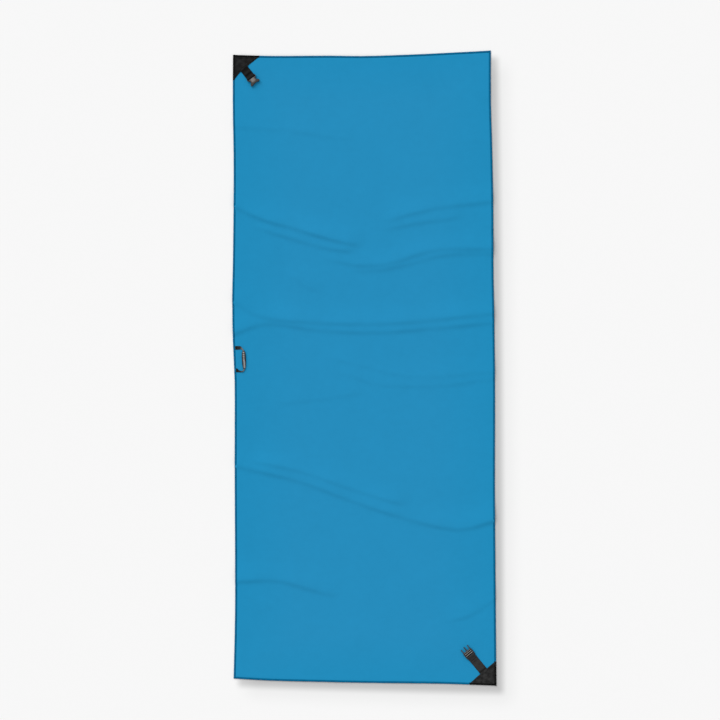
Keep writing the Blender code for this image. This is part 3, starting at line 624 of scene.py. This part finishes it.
def build_towel():
    sides = inset_sides(SHEET_INSET)
    width = 0.5 * (lengths_along(sides["bottom"])[-1] + lengths_along(sides["top"])[-1])
    length = 0.5 * (lengths_along(sides["left"])[-1] + lengths_along(sides["right"])[-1])
    u, v = edge_stations(width), edge_stations(length)

    def on(name, shares, backwards=False):
        line = sides[name][::-1] if backwards else sides[name]
        return at_lengths(line, shares * lengths_along(line)[-1])

    bottom, top = on("bottom", u), on("top", u, True)
    left, right = on("left", v, True), on("right", v)
    uu, vv = u[None, :, None], v[:, None, None]
    corners = ((1 - uu) * (1 - vv) * bottom[0] + uu * (1 - vv) * bottom[-1]
               + (1 - uu) * vv * top[0] + uu * vv * top[-1])
    flat = (1 - vv) * bottom[None] + vv * top[None] + (1 - uu) * left[:, None] + uu * right[:, None] - corners
    rows, columns = flat.shape[:2]
    points = flat.reshape(-1, 2)
    height = relief(points)
    edge = np.minimum(np.minimum(u, 1 - u)[None, :] * width, np.minimum(v, 1 - v)[:, None] * length)
    full = smooth_step(0.25 + edge.reshape(-1) / EDGE_SQUEEZE)
    middle = 0.5 * SHEET_TOP
    upper = np.column_stack([points, height + middle + middle * full])
    lower = np.column_stack([points, height + middle - middle * full])
    return mesh_object("towel_cloth", np.concatenate([upper, lower]), slab_faces(rows, columns), BLUE_CLOTH)


# ======== overlock
OVERLOCK_PITCH = 2.3 * MM
OVERLOCK_RING = 0.46 * MM
OVERLOCK_SECTION = 12


def build_overlock(name, side, start, end, height, material):
    """The overlocked edge of part of a side, start and end being the lengths left out of it."""
    line = SIDE_LINES[side]
    total = lengths_along(line)[-1]
    count = round((total - start - end) / OVERLOCK_RING)
    along = np.linspace(start, total - end, count + 1)
    points = at_lengths(line, along)
    smooth = resampled(line, 0.01)
    grid = np.linspace(0.0, total, len(smooth))
    normals = left_normals(smooth)
    normal = np.stack([np.interp(along, grid, normals[:, k]) for k in range(2)], axis=1)
    lift = np.interp(along, grid, relief(smooth + normals * HEM_WIDTH / 2))
    across, rise = rounded_section(OVERLOCK_SECTION, 0.8, 0.7)
    phase = along[:, None] / OVERLOCK_PITCH + 0.42 * across[None, :]
    ridge = (0.5 + 0.5 * np.cos(2 * math.pi * phase)) ** 0.8
    chain = np.exp(-((across - 0.72) / 0.2) ** 2) * (rise > 0)  # the looper's chain on the inner edge
    out = 0.92 + 0.18 * ridge + 0.08 * chain[None, :] * (0.6 + 0.4 * ridge)
    half_width, half_height = HEM_WIDTH / 2, height / 2
    centre = points + normal * half_width
    flat = centre[:, None] + normal[:, None] * (across * half_width)[None, :, None] * out[:, :, None]
    z = lift[:, None] + half_height + rise * half_height * out
    rings = np.concatenate([flat, z[:, :, None]], axis=2)
    obj = mesh_object(name, rings.reshape(-1, 3), swept_faces(len(rings), OVERLOCK_SECTION), material)
    point_values(obj, "proud", ridge)
    return obj


def build_edges():
    """The hem of each side and the black edging round each panel, as the CAD splits them."""
    made = {}
    for key, corner in CORNERS.items():
        cross_side, long_side = corner["sides"]
        cross_leg, long_leg = corner["legs"]
        cross_rest = lengths_along(SIDE_LINES[cross_side])[-1] - cross_leg
        long_rest = lengths_along(SIDE_LINES[long_side])[-1] - long_leg
        runs = [
            ("hem_" + cross_side, cross_side, HEM_WIDTH, cross_leg, HEM_HEIGHT, BLUE_THREAD),
            ("hem_" + long_side, long_side, long_leg, 0.0, HEM_HEIGHT, BLUE_THREAD),
            (key + "_corner_edging_cross", cross_side, cross_rest, HEM_WIDTH, EDGING_HEIGHT, EDGING_THREAD),
            (key + "_corner_edging_long", long_side, 0.0, long_rest, EDGING_HEIGHT, EDGING_THREAD),
        ]
        for node, *run in runs:
            made[node] = build_overlock(node + "_overlock", *run)
    return made


# ======== corner panels
PANEL_THICKNESS = 0.45 * MM
PANEL_FOLD = 7.0 * MM  # the inner edge is turned under by this much
PANEL_TUCK = 3.0 * MM  # how far inside the outline the panel's cut edges lie, under the overlock
PANEL_MOUTH = WEBBING_WIDTH / 2 + 1.3 * MM  # from the strap's middle to where the front bends
PANEL_ROWS, PANEL_COLUMNS = 64, 96
PANEL_SEAMS = [(7.4 * MM, 0.08), (9.8 * MM, 0.11)]  # in from the outline, and how much is left out
STITCH_LENGTH = 2.6 * MM
STITCH_GAP = 0.6 * MM
STITCH_ARCH = np.array([-0.35, 0.05, 0.16, 0.16, 0.05, -0.35]) * MM
STITCH_RADIUS = 0.30 * MM


def strap_place(corner):
    return Place(corner["mouth"], corner["heading"])


def panel_corners(corner, inset):
    """The panel's two outer points and its tip, in the frame of its strap."""
    into, out = (SIDE_LINES[side] for side in corner["sides"])
    into_leg, out_leg = corner["legs"]
    into_total = lengths_along(into)[-1]
    start = at_lengths(into, np.array([into_total - into_leg]))[0]
    end = at_lengths(out, np.array([out_leg]))[0]
    apex = into[-1]
    tip = inset_corner(start, apex, end, inset)
    to_apex = (apex - start) / np.linalg.norm(apex - start)
    to_end = (end - apex) / np.linalg.norm(end - apex)
    start = start + np.array([-to_apex[1], to_apex[0]]) * inset
    end = end + np.array([-to_end[1], to_end[0]]) * inset
    return strap_place(corner).local(np.array([start, tip, end]))


class PanelSurface:
    """Heights of a panel, in its strap's frame: it rides up over the strap's root."""

    def __init__(self, corner):
        start, tip, end = panel_corners(corner, HEM_WIDTH)
        self.lines = [(a, (b - a) / np.linalg.norm(b - a)) for a, b in ((start, tip), (tip, end))]

    def under(self, x, y):
        """Height of the underside over LAID."""
        rise = WEBBING_THICKNESS + 0.15 * MM
        past = np.maximum(np.abs(y) - WEBBING_WIDTH / 2 - 0.2 * MM, -x - ROOT_LENGTH - 0.2 * MM)
        height = rise * smooth_step(1 - np.maximum(past, 0.0) / (9.0 * MM))
        for origin, heading in self.lines:
            inside = heading[0] * (y - origin[1]) - heading[1] * (x - origin[0])
            height = height * smooth_step((inside + 0.6 * MM) / (5.0 * MM))
        return height

    def top(self, x, y):
        """Height of the upper face from the floor."""
        x, y = np.broadcast_arrays(np.asarray(x, float), np.asarray(y, float))
        folded = smooth_step((x + PANEL_FOLD + 0.6 * MM) / (1.2 * MM)) * 0.35 * MM
        crease = np.array([noise.noise(Vector((a * 90.0, b * 70.0, 1.7)))
                           for a, b in zip(x.ravel(), y.ravel())]).reshape(x.shape)
        return LAID + self.under(x, y) + PANEL_THICKNESS + folded + 0.10 * MM * crease


def build_panel(key, corner):
    surface = PanelSurface(corner)
    start, tip, end = panel_corners(corner, PANEL_TUCK)
    slant = corner["slant"]
    front = np.array([start, (-0.2 * MM, PANEL_MOUTH), (slant, -PANEL_MOUTH - slant * 2), end])
    front = resampled(front, 0.1 * MM)
    front = at_lengths(front, np.linspace(0, lengths_along(front)[-1], PANEL_COLUMNS + 1))
    share = np.linspace(0.02, 1.0, PANEL_ROWS + 1)
    flat = tip + share[:, None, None] * (front - tip)[None]
    x, y = flat[..., 0], flat[..., 1]
    edge = np.minimum((1 - share[:, None]) * 50 * MM, 1.0 * MM) / (1.0 * MM)
    rounding = (1 - np.sqrt(np.clip(1 - (1 - edge) ** 2, 0, 1))) * 0.3 * MM
    top = surface.top(x, y) - rounding
    under = LAID + surface.under(x, y) + rounding * 0.3
    local = np.concatenate([np.stack([x, y, z], axis=-1).reshape(-1, 3) for z in (top, under)])
    return mesh_object(key + "_panel_cloth", strap_place(corner).world(local), slab_faces(*x.shape),
                       PANEL_CLOTH[key], uvs=local[:, :2])


def stitch_paths(place, line, top):
    """Single stitches along a local line: each dives into the cloth at both ends."""
    line = np.array(line)
    total = lengths_along(line)[-1]
    pitch = STITCH_LENGTH + STITCH_GAP
    count = int(total / pitch)
    paths = []
    for k in range(count):
        first = (total - count * pitch) / 2 + k * pitch
        flat = at_lengths(line, first + STITCH_LENGTH * np.linspace(0, 1, len(STITCH_ARCH)))
        paths.append(place.world(np.column_stack([flat, top(flat[:, 0], flat[:, 1]) + STITCH_ARCH])))
    return paths


def build_panel_seams(key, corner):
    """Two rows of stitches along the cut edges and one along the turned edge."""
    place = strap_place(corner)
    top = PanelSurface(corner).top
    paths = []
    for inset, left_out in PANEL_SEAMS:
        start, tip, end = panel_corners(corner, inset)
        for outer in (start, end):
            paths += stitch_paths(place, [outer + (tip - outer) * left_out, tip], top)
    start, tip, end = panel_corners(corner, 8.0 * MM)
    back = PANEL_FOLD - 1.4 * MM
    for outer, mouth in ((start, PANEL_MOUTH), (end, -PANEL_MOUTH)):
        paths += stitch_paths(place, [outer - np.array([back * 0.8, 0.0]), (-back, mouth)], top)
    paths += stitch_paths(place, [(-back, -PANEL_MOUTH), (-back, PANEL_MOUTH)], top)
    return tubes_object(key + "_panel_stitches", paths, STITCH_RADIUS, BLACK_THREAD)


# ======== webbing
WEAVE_COLUMNS = 20
WEAVE_PITCH = 1.7 * MM
WEAVE_RELIEF = 0.14 * MM
RIBBON_STEP = 0.42 * MM


def weave_relief(along, across):
    """Height of the yarns: long floats side by side, each column half a pitch off the last."""
    cell = across * WEAVE_COLUMNS
    column = np.floor(cell)
    inside = cell - column - 0.5
    round_yarn = np.sqrt(np.clip(1 - (1.9 * inside) ** 2, 0.0, 1.0))
    step = along / WEAVE_PITCH + 0.5 * (column % 2)
    float_yarn = np.abs(np.sin(math.pi * step)) ** 0.6
    return round_yarn * float_yarn


def ribbon(name, place, path, material, mouth_shade_at=None):
    """Webbing swept along a path of (along, height) points, with a band of painted shade at a distance along
    it.
    """
    width, thickness = WEBBING_WIDTH - 0.2 * MM, WEBBING_THICKNESS - 0.12 * MM
    line = resampled(smooth_line(path, 0.4 * MM), RIBBON_STEP)
    tangent = directions(line)
    normal = np.stack([-tangent[:, 1], tangent[:, 0]], axis=1)
    run = lengths_along(line)
    across = np.linspace(0.0, 1.0, 4 * WEAVE_COLUMNS + 1)
    edge = np.minimum(across, 1 - across) * width
    profile = np.sqrt(np.clip(1 - (1 - np.minimum(edge / (0.7 * MM), 1.0)) ** 2, 0.04, 1.0))
    rings, proud = [], []
    for sign, order in ((1, slice(None)), (-1, slice(None, None, -1))):
        share = across[order]
        yarn = weave_relief(run[:, None], share[None, :]) * (profile[order] > 0.9)
        offset = sign * (0.5 * thickness * profile[order][None, :] + WEAVE_RELIEF * (yarn - 0.5))
        proud.append(yarn)
        spot = line[:, None, :] + normal[:, None, :] * offset[:, :, None]
        y = np.broadcast_to((share - 0.5) * width, spot.shape[:2])
        rings.append(np.stack([spot[..., 0], y, spot[..., 1]], axis=-1))
    rings = np.concatenate(rings, axis=1)
    uv = np.stack([np.broadcast_to(run[:, None], rings.shape[:2]), rings[..., 1]], axis=-1)
    obj = mesh_object(name, place.world(rings.reshape(-1, 3)), swept_faces(len(rings), rings.shape[1]),
                      material, uvs=uv.reshape(-1, 2))
    point_values(obj, "proud", np.concatenate(proud, axis=1))
    if mouth_shade_at is not None:
        point_values(obj, "mouth_shade", np.exp(-((uv[..., 0] - mouth_shade_at) / (3.0 * MM)) ** 2))
    return obj


def strap_route(reach):
    """Side view of the whole strap: root, rise over its own tail, round the bar and back."""
    low = LAID + WEBBING_THICKNESS / 2
    high = low + WEBBING_THICKNESS
    radius = EYE_RADIUS + WEBBING_THICKNESS / 2
    tail = reach - TAIL_LENGTH
    points = [(-ROOT_LENGTH + 0.3 * MM, low), (-10 * MM, low), (0.0, low)]
    points += [(x, low) for x in np.arange(5 * MM, tail - 5 * MM, 6 * MM)]
    points += [(tail - 3.6 * MM, low + 0.1 * MM), (tail - 1.6 * MM, low + 0.75 * MM),
               (tail + 0.4 * MM, high), (tail + 4.5 * MM, high + 0.05 * MM)]
    points += [(reach - 7.5 * MM, high + 0.15 * MM), (reach - 3.6 * MM, high + 1.7 * MM)]
    for angle in (100, 72, 44, 16, -12, -40, -64, -88):
        turn = math.radians(angle)
        points.append((reach + radius * math.cos(turn), BAR_HEIGHT + radius * math.sin(turn)))
    points += [(reach - 3 * MM, low), (reach - 9 * MM, low), (tail + 0.3 * MM, low)]
    return points


def build_strap(key, corner):
    return ribbon(key + "_strap_webbing", strap_place(corner), strap_route(corner["reach"]),
                  STRAP_CLOTH[key], mouth_shade_at=ROOT_LENGTH + 3.5 * MM)


def build_strap_end(corner):
    """The strap's free end, seen through the plug's slots, painted near black as their shade."""
    first, last = (corner["reach"] + offset for offset in STRAP_END)
    points = [(x, STRAP_END_HEIGHT) for x in np.linspace(first, last, 4)]
    return ribbon("lower_strap_end_webbing", strap_place(corner), points, SHADED_END_CLOTH)


def zigzag(place, middle, depth, width, surface, count):
    """A bar tack: one thread going back and forth, close together."""
    points = []
    for k in range(count + 1):
        y = -width / 2 + width * k / count
        x = middle + depth / 2 * (1 if k % 2 else -1)
        points.append((x, y, surface - 0.1 * MM))
        if k < count:
            points.append((middle, y + width / count / 2, surface + 0.22 * MM))
    return place.world(np.array(points))


def build_strap_tack(key, corner):
    surface = LAID + 2 * WEBBING_THICKNESS + 0.1 * MM
    path = zigzag(strap_place(corner), corner["reach"] - 13.0 * MM, 2.2 * MM, 20.0 * MM, surface, 44)
    return tubes_object(key + "_strap_tack", [path], 0.26 * MM, TACK_THREAD[key])


# ======== hang loop
LOOP_STATIONS = [
    # x, y, height of the middle, width, thickness, how gathered it is
    (-0.3802, 0.0592, 1.1, 10.4, 0.8, 0.0), (-0.378, 0.0592, 1.6, 10.6, 0.8, 0.0),
    (-0.3758, 0.0592, 2.35, 10.6, 0.8, 0.0), (-0.374, 0.0592, 2.35, 10.6, 0.8, 0.0),
    (-0.368, 0.0593, 2.35, 10.6, 0.8, 0.0), (-0.3642, 0.0592, 2.4, 10.2, 0.9, 0.0),
    (-0.3616, 0.0584, 2.75, 7.8, 1.4, 0.3), (-0.3592, 0.057, 3.3, 4.6, 2.2, 0.9),
    (-0.3566, 0.0547, 3.95, 3.4, 2.8, 1.0), (-0.3545, 0.0517, 4.2, 3.1, 2.7, 1.0),
    (-0.3538, 0.047, 4.2, 3.1, 2.7, 1.0), (-0.3528, 0.0237, 4.2, 3.1, 2.7, 1.0),
    (-0.3518, 0.0003, 4.2, 3.1, 2.7, 1.0), (-0.3521, -0.0045, 4.2, 3.1, 2.7, 1.0),
    (-0.3548, -0.0083, 4.0, 3.2, 2.6, 0.8), (-0.3588, -0.0102, 3.6, 3.4, 2.3, 0.4),
    (-0.363, -0.0102, 3.0, 4.0, 1.7, 0.1), (-0.366, -0.0097, 2.6, 5.2, 1.3, 0.0),
    (-0.369, -0.0089, 2.4, 7.0, 1.0, 0.0), (-0.372, -0.0077, 2.35, 9.6, 0.8, 0.0),
    (-0.3738, -0.0069, 2.35, 11.3, 0.8, 0.0), (-0.3758, -0.0065, 1.7, 12.2, 0.8, 0.0),
    (-0.3782, -0.0063, 1.1, 12.6, 0.8, 0.0),
]
LOOP_BEND = ((-0.3738, 0.026, 3.7 * MM), (-0.3693, 0.026, 3.7 * MM))
TAPE_SECTION = 40
TAPE_RIB = 1.3 * MM


def build_tape():
    """The tape: flat where it is sewn, folded together lengthwise into a cord on its way round."""
    stations = np.array(LOOP_STATIONS)
    centres = stations[:, :3] * np.array([1.0, 1.0, MM])
    dense = smooth_line(centres, 0.6 * MM)
    run = lengths_along(dense)
    knots = lengths_along(centres)
    knots = knots / knots[-1] * run[-1]
    count = round(run[-1] / (0.5 * MM))
    along = np.linspace(0.0, run[-1], count + 1)
    line = at_lengths(dense, along)
    width, thickness, gathered = (averaged(np.interp(along, knots, stations[:, k]), 5) for k in (3, 4, 5))
    tangent = directions(line[:, :2])
    tangent[:4] = (1.0, 0.0)
    tangent[-4:] = (-1.0, 0.0)
    side = np.stack([-tangent[:, 1], tangent[:, 0]], axis=1)
    across, rise = rounded_section(TAPE_SECTION, 0.75, 0.6)
    rib = np.cos(2 * math.pi * along / TAPE_RIB)[:, None] * np.sign(rise)
    creases = np.exp(-((across - 0.25) / 0.16) ** 2) + 0.7 * np.exp(-((across + 0.5) / 0.14) ** 2)
    half = thickness[:, None] * MM / 2 * rise
    z = line[:, 2:3] + half * (1 - 0.30 * gathered[:, None] * creases) + 0.06 * MM * rib
    y = width[:, None] * MM / 2 * across[None, :]
    flat = line[:, None, :2] + side[:, None, :] * y[:, :, None]
    rings = np.concatenate([flat, z[:, :, None]], axis=2)
    uv = np.stack([np.broadcast_to(along[:, None], z.shape), y], axis=-1)
    tape = mesh_object("hang_loop_tape_folded", rings.reshape(-1, 3),
                       swept_faces(len(rings), TAPE_SECTION), TAPE_CLOTH, uvs=uv.reshape(-1, 2))
    # the material paints a highlight where the tape is gathered, and paints the rib crests lighter than their
    # hollows
    point_values(tape, "gathered", np.repeat(gathered, TAPE_SECTION))
    point_values(tape, "proud", 0.5 + 0.5 * rib)
    return tape


LABEL_TOP = (-0.3538, 0.0495)
LABEL_BOTTOM = (-0.3517, -0.0021)
LABEL_HALF_WIDTHS = [(0.0, 2.9), (1.5, 3.9), (5.0, 5.1), (14.0, 5.7), (34.0, 5.6), (45.0, 4.5),
                     (50.0, 3.3), (51.6, 2.6)]
LABEL_HEIGHT = 4.6 * MM
LABEL_SECTION = 72
LABEL_BAR_PITCH = 5.4 * MM
LABEL_BARS_END = 26.0 * MM


def build_label():
    """The sleeve: cloth folded round the cord, seam on the outside edge."""
    top, bottom = np.array(LABEL_TOP), np.array(LABEL_BOTTOM)
    length = np.linalg.norm(bottom - top)
    heading = math.atan2(*(bottom - top)[::-1])
    place = Place(top, heading)
    widths = np.array(LABEL_HALF_WIDTHS) * MM
    along = np.linspace(0.0, length, 140)
    half = averaged(np.interp(along, widths[:, 0], widths[:, 1]), 9)
    across, rise = rounded_section(LABEL_SECTION, 0.85, 0.9)
    tall = np.minimum(LABEL_HEIGHT / 2, half * 0.95)
    middle = LAID + LABEL_HEIGHT / 2
    pucker = 1 + 0.035 * np.sin(along * 900.0)[:, None] * np.abs(across) ** 3
    y = half[:, None] * across * pucker
    # the pale band runs down the middle, and moves a little to one side on the lower half
    shift = 1.1 * MM * smooth_step((along - 24 * MM) / (10 * MM))
    inner = np.clip((2.7 * MM - np.abs(y - shift[:, None])) / (0.5 * MM), 0.0, 1.0)
    inner *= (rise > 0) * smooth_step((half - 2.8 * MM) / (1.0 * MM))[:, None]
    bar = smooth_step(0.5 + 2.2 * np.sin(2 * math.pi * (along - 2.5 * MM) / LABEL_BAR_PITCH))
    barred = along < LABEL_BARS_END
    pale = inner * np.where(barred, 0.12 + 0.88 * bar, 0.72)[:, None]
    raised = inner * np.where(barred, 0.22 * MM * bar, 0.10 * MM)[:, None]
    z = middle + tall[:, None] * rise + raised
    local = np.stack([np.broadcast_to(along[:, None], z.shape), y, z], axis=-1).reshape(-1, 3)
    label = mesh_object("hang_loop_label_sleeve", place.world(local),
                        swept_faces(len(along), LABEL_SECTION), LABEL_CLOTH, uvs=local[:, :2])
    point_values(label, "gathered", pale)
    return label


def build_loop_tacks():
    made = []
    for key, x, y in (("upper", -0.3752, 0.0592), ("lower", -0.3732, -0.0075)):
        place = Place((x, y), 0.0)
        path = zigzag(place, 0.0, 2.0 * MM, 8.6 * MM, LAID + 0.95 * MM, 22)
        made.append(tubes_object("hang_loop_tack_" + key, [path], 0.22 * MM, BLACK_THREAD))
    return made


# ======== stage
# how far past the towel's side the shadow starts to fade, then a, b and c of that side: the right
# one is x = a + b y + c y y, and the lower one is -y = a + b x + c x x
SHADOW_RIGHT = (0.0057, 0.3825, -0.0087, -0.0042)
SHADOW_BELOW = (0.0085, 0.9222, 0.0268, -0.0142)
SHADOW_START = (-0.383, 0.926)  # the shadow's left and upper limits
SHADOW_LAYERS = [(0.30, 0.028), (0.10, 0.078)]  # how dark, and how wide its blur
FLOOR_COLOUR = (0.89, 0.89, 0.89)
FLOOR_SIZE = 8.0  # half its width
FLOOR_DROP = 0.4 * MM
SKY_STRENGTH = 0.62
SUN_STRENGTH = 2.26
SUN_SPREAD = math.radians(50.0)
SUN_FROM = (-0.62, 0.79, 0.75)


def build_camera():
    data = bpy.data.cameras.new("camera")
    data.lens = LENS
    data.sensor_width = SENSOR
    camera = bpy.data.objects.new("camera", data)
    bpy.context.scene.collection.objects.link(camera)
    camera.location = (*VIEW_CENTRE, SHEET_TOP + VIEW_WIDTH * LENS / SENSOR)
    data.clip_end = 60.0
    bpy.context.scene.camera = camera


def build_floor():
    """A pale floor, with the soft shadow of a towel a little off it, down and to the right."""
    made = Nodes("floor_white", 0.9, Specular_IOR_Level=0.1)
    split = made.node("SeparateXYZ", {"Vector": made.place()})
    x, y = split.outputs["X"], split.outputs["Y"]
    ends = []
    for along, beyond, (start, middle, slope, bow) in ((y, x, SHADOW_RIGHT),
                                                       (x, made.math("MULTIPLY", y, -1.0), SHADOW_BELOW)):
        edge = made.math("MULTIPLY_ADD", made.math("MULTIPLY_ADD", along, bow, slope), along, middle)
        ends.append((made.math("SUBTRACT", beyond, edge), start, 0.0))
    ends.append((made.math("SUBTRACT", SHADOW_START[0], x), 0.0, 1.0))
    ends.append((made.math("SUBTRACT", y, SHADOW_START[1]), 0.0, 1.0))
    light = 1.0
    for depth, width in SHADOW_LAYERS:
        shadow = depth
        for value, start, back in ends:
            first = start - back * width
            fading = made.slope(value, first, first + width, 1.0, 0.0, interpolation_type="SMOOTHSTEP")
            shadow = made.math("MULTIPLY", fading, shadow)
        light = made.math("SUBTRACT", light, shadow)
    made.link(made.mix(light, shade(FLOOR_COLOUR, 0.0), shade(FLOOR_COLOUR, 1.0)), "Base Color")
    corners = [(x * FLOOR_SIZE, y * FLOOR_SIZE, -FLOOR_DROP) for x, y in ((-1, -1), (1, -1), (1, 1), (-1, 1))]
    mesh_object("floor", corners, [[0, 1, 2, 3]], made.material)


def build_light():
    world = bpy.data.worlds.new("studio")
    bpy.context.scene.world = world
    world.use_nodes = True
    background = world.node_tree.nodes["Background"]
    background.inputs["Color"].default_value = (1.0, 1.0, 1.0, 1.0)
    background.inputs["Strength"].default_value = SKY_STRENGTH
    sun = bpy.data.lights.new("key", "SUN")
    sun.energy = SUN_STRENGTH
    sun.angle = SUN_SPREAD
    lamp = bpy.data.objects.new("key", sun)
    bpy.context.scene.collection.objects.link(lamp)
    lamp.rotation_mode = "QUATERNION"
    lamp.rotation_quaternion = Vector(SUN_FROM).to_track_quat("Z", "Y")


# ======== assembly
def attach(piece, body, slot, *nodes):
    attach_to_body(piece, body)
    if nodes:
        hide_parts(*nodes)


def attach_bending(piece, body_a, body_b, start, end, slot, *nodes):
    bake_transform(piece)
    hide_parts(*nodes)


def main():
    build_camera()
    cloth = build_towel()
    attach(cloth, "towel", "blue_cloth", "towel_sheet")
    edges = build_edges()
    for node, piece in edges.items():
        attach(piece, "towel", "black_thread" if "edging" in node else "blue_thread", node)

    for key, corner in CORNERS.items():
        panel = build_panel(key, corner)
        attach(panel, "towel", "black_cloth", key + "_corner_panel")
        attach(build_panel_seams(key, corner), "towel", "black_thread")
        strap = build_strap(key, corner)
        place = strap_place(corner)
        start, end = place.world(np.array([(0.0, 0.0, FOLD_HEIGHT), (FOLD_LENGTH, 0.0, FOLD_HEIGHT)]))
        attach_bending(strap, "towel", key + "_strap", tuple(start), tuple(end), "webbing",
                       key + "_strap", key + "_strap_root")
        attach(build_strap_tack(key, corner), key + "_strap", "black_thread", key + "_strap_bartack")

    attach(build_strap_end(CORNERS["lower"]), "plug", "webbing", "lower_strap_end")
    tape = build_tape()
    attach_bending(tape, "towel", "hang_loop", *LOOP_BEND, "webbing", "hang_loop_tape",
                   "hang_loop_root_upper", "hang_loop_root_lower")
    attach(build_label(), "hang_loop", "label_cloth", "hang_loop_label")
    for piece, key in zip(build_loop_tacks(), ("upper", "lower")):
        attach(piece, "towel", "black_thread", "hang_loop_bartack_" + key)

    arms = plastic("acetal_arms", (0.055, 0.048, 0.044))
    finishes = {
        "buckle_socket": plastic("acetal_socket", (0.042, 0.034, 0.030), CORNERS["upper"], [SOCKET_NECK_HIGHLIGHT]),
        "buckle_plug": plastic("acetal_plug", (0.036, 0.031, 0.028), CORNERS["lower"], PLUG_BAR_HIGHLIGHTS),
        "plug_arm_left": arms,
        "plug_arm_right": arms,
    }
    for name, finish in finishes.items():
        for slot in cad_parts[name].material_slots:
            slot.material = finish
    build_floor()
    build_light()
    bpy.context.scene.view_settings.view_transform = "Standard"


main()
bpy.context.view_layer.update()
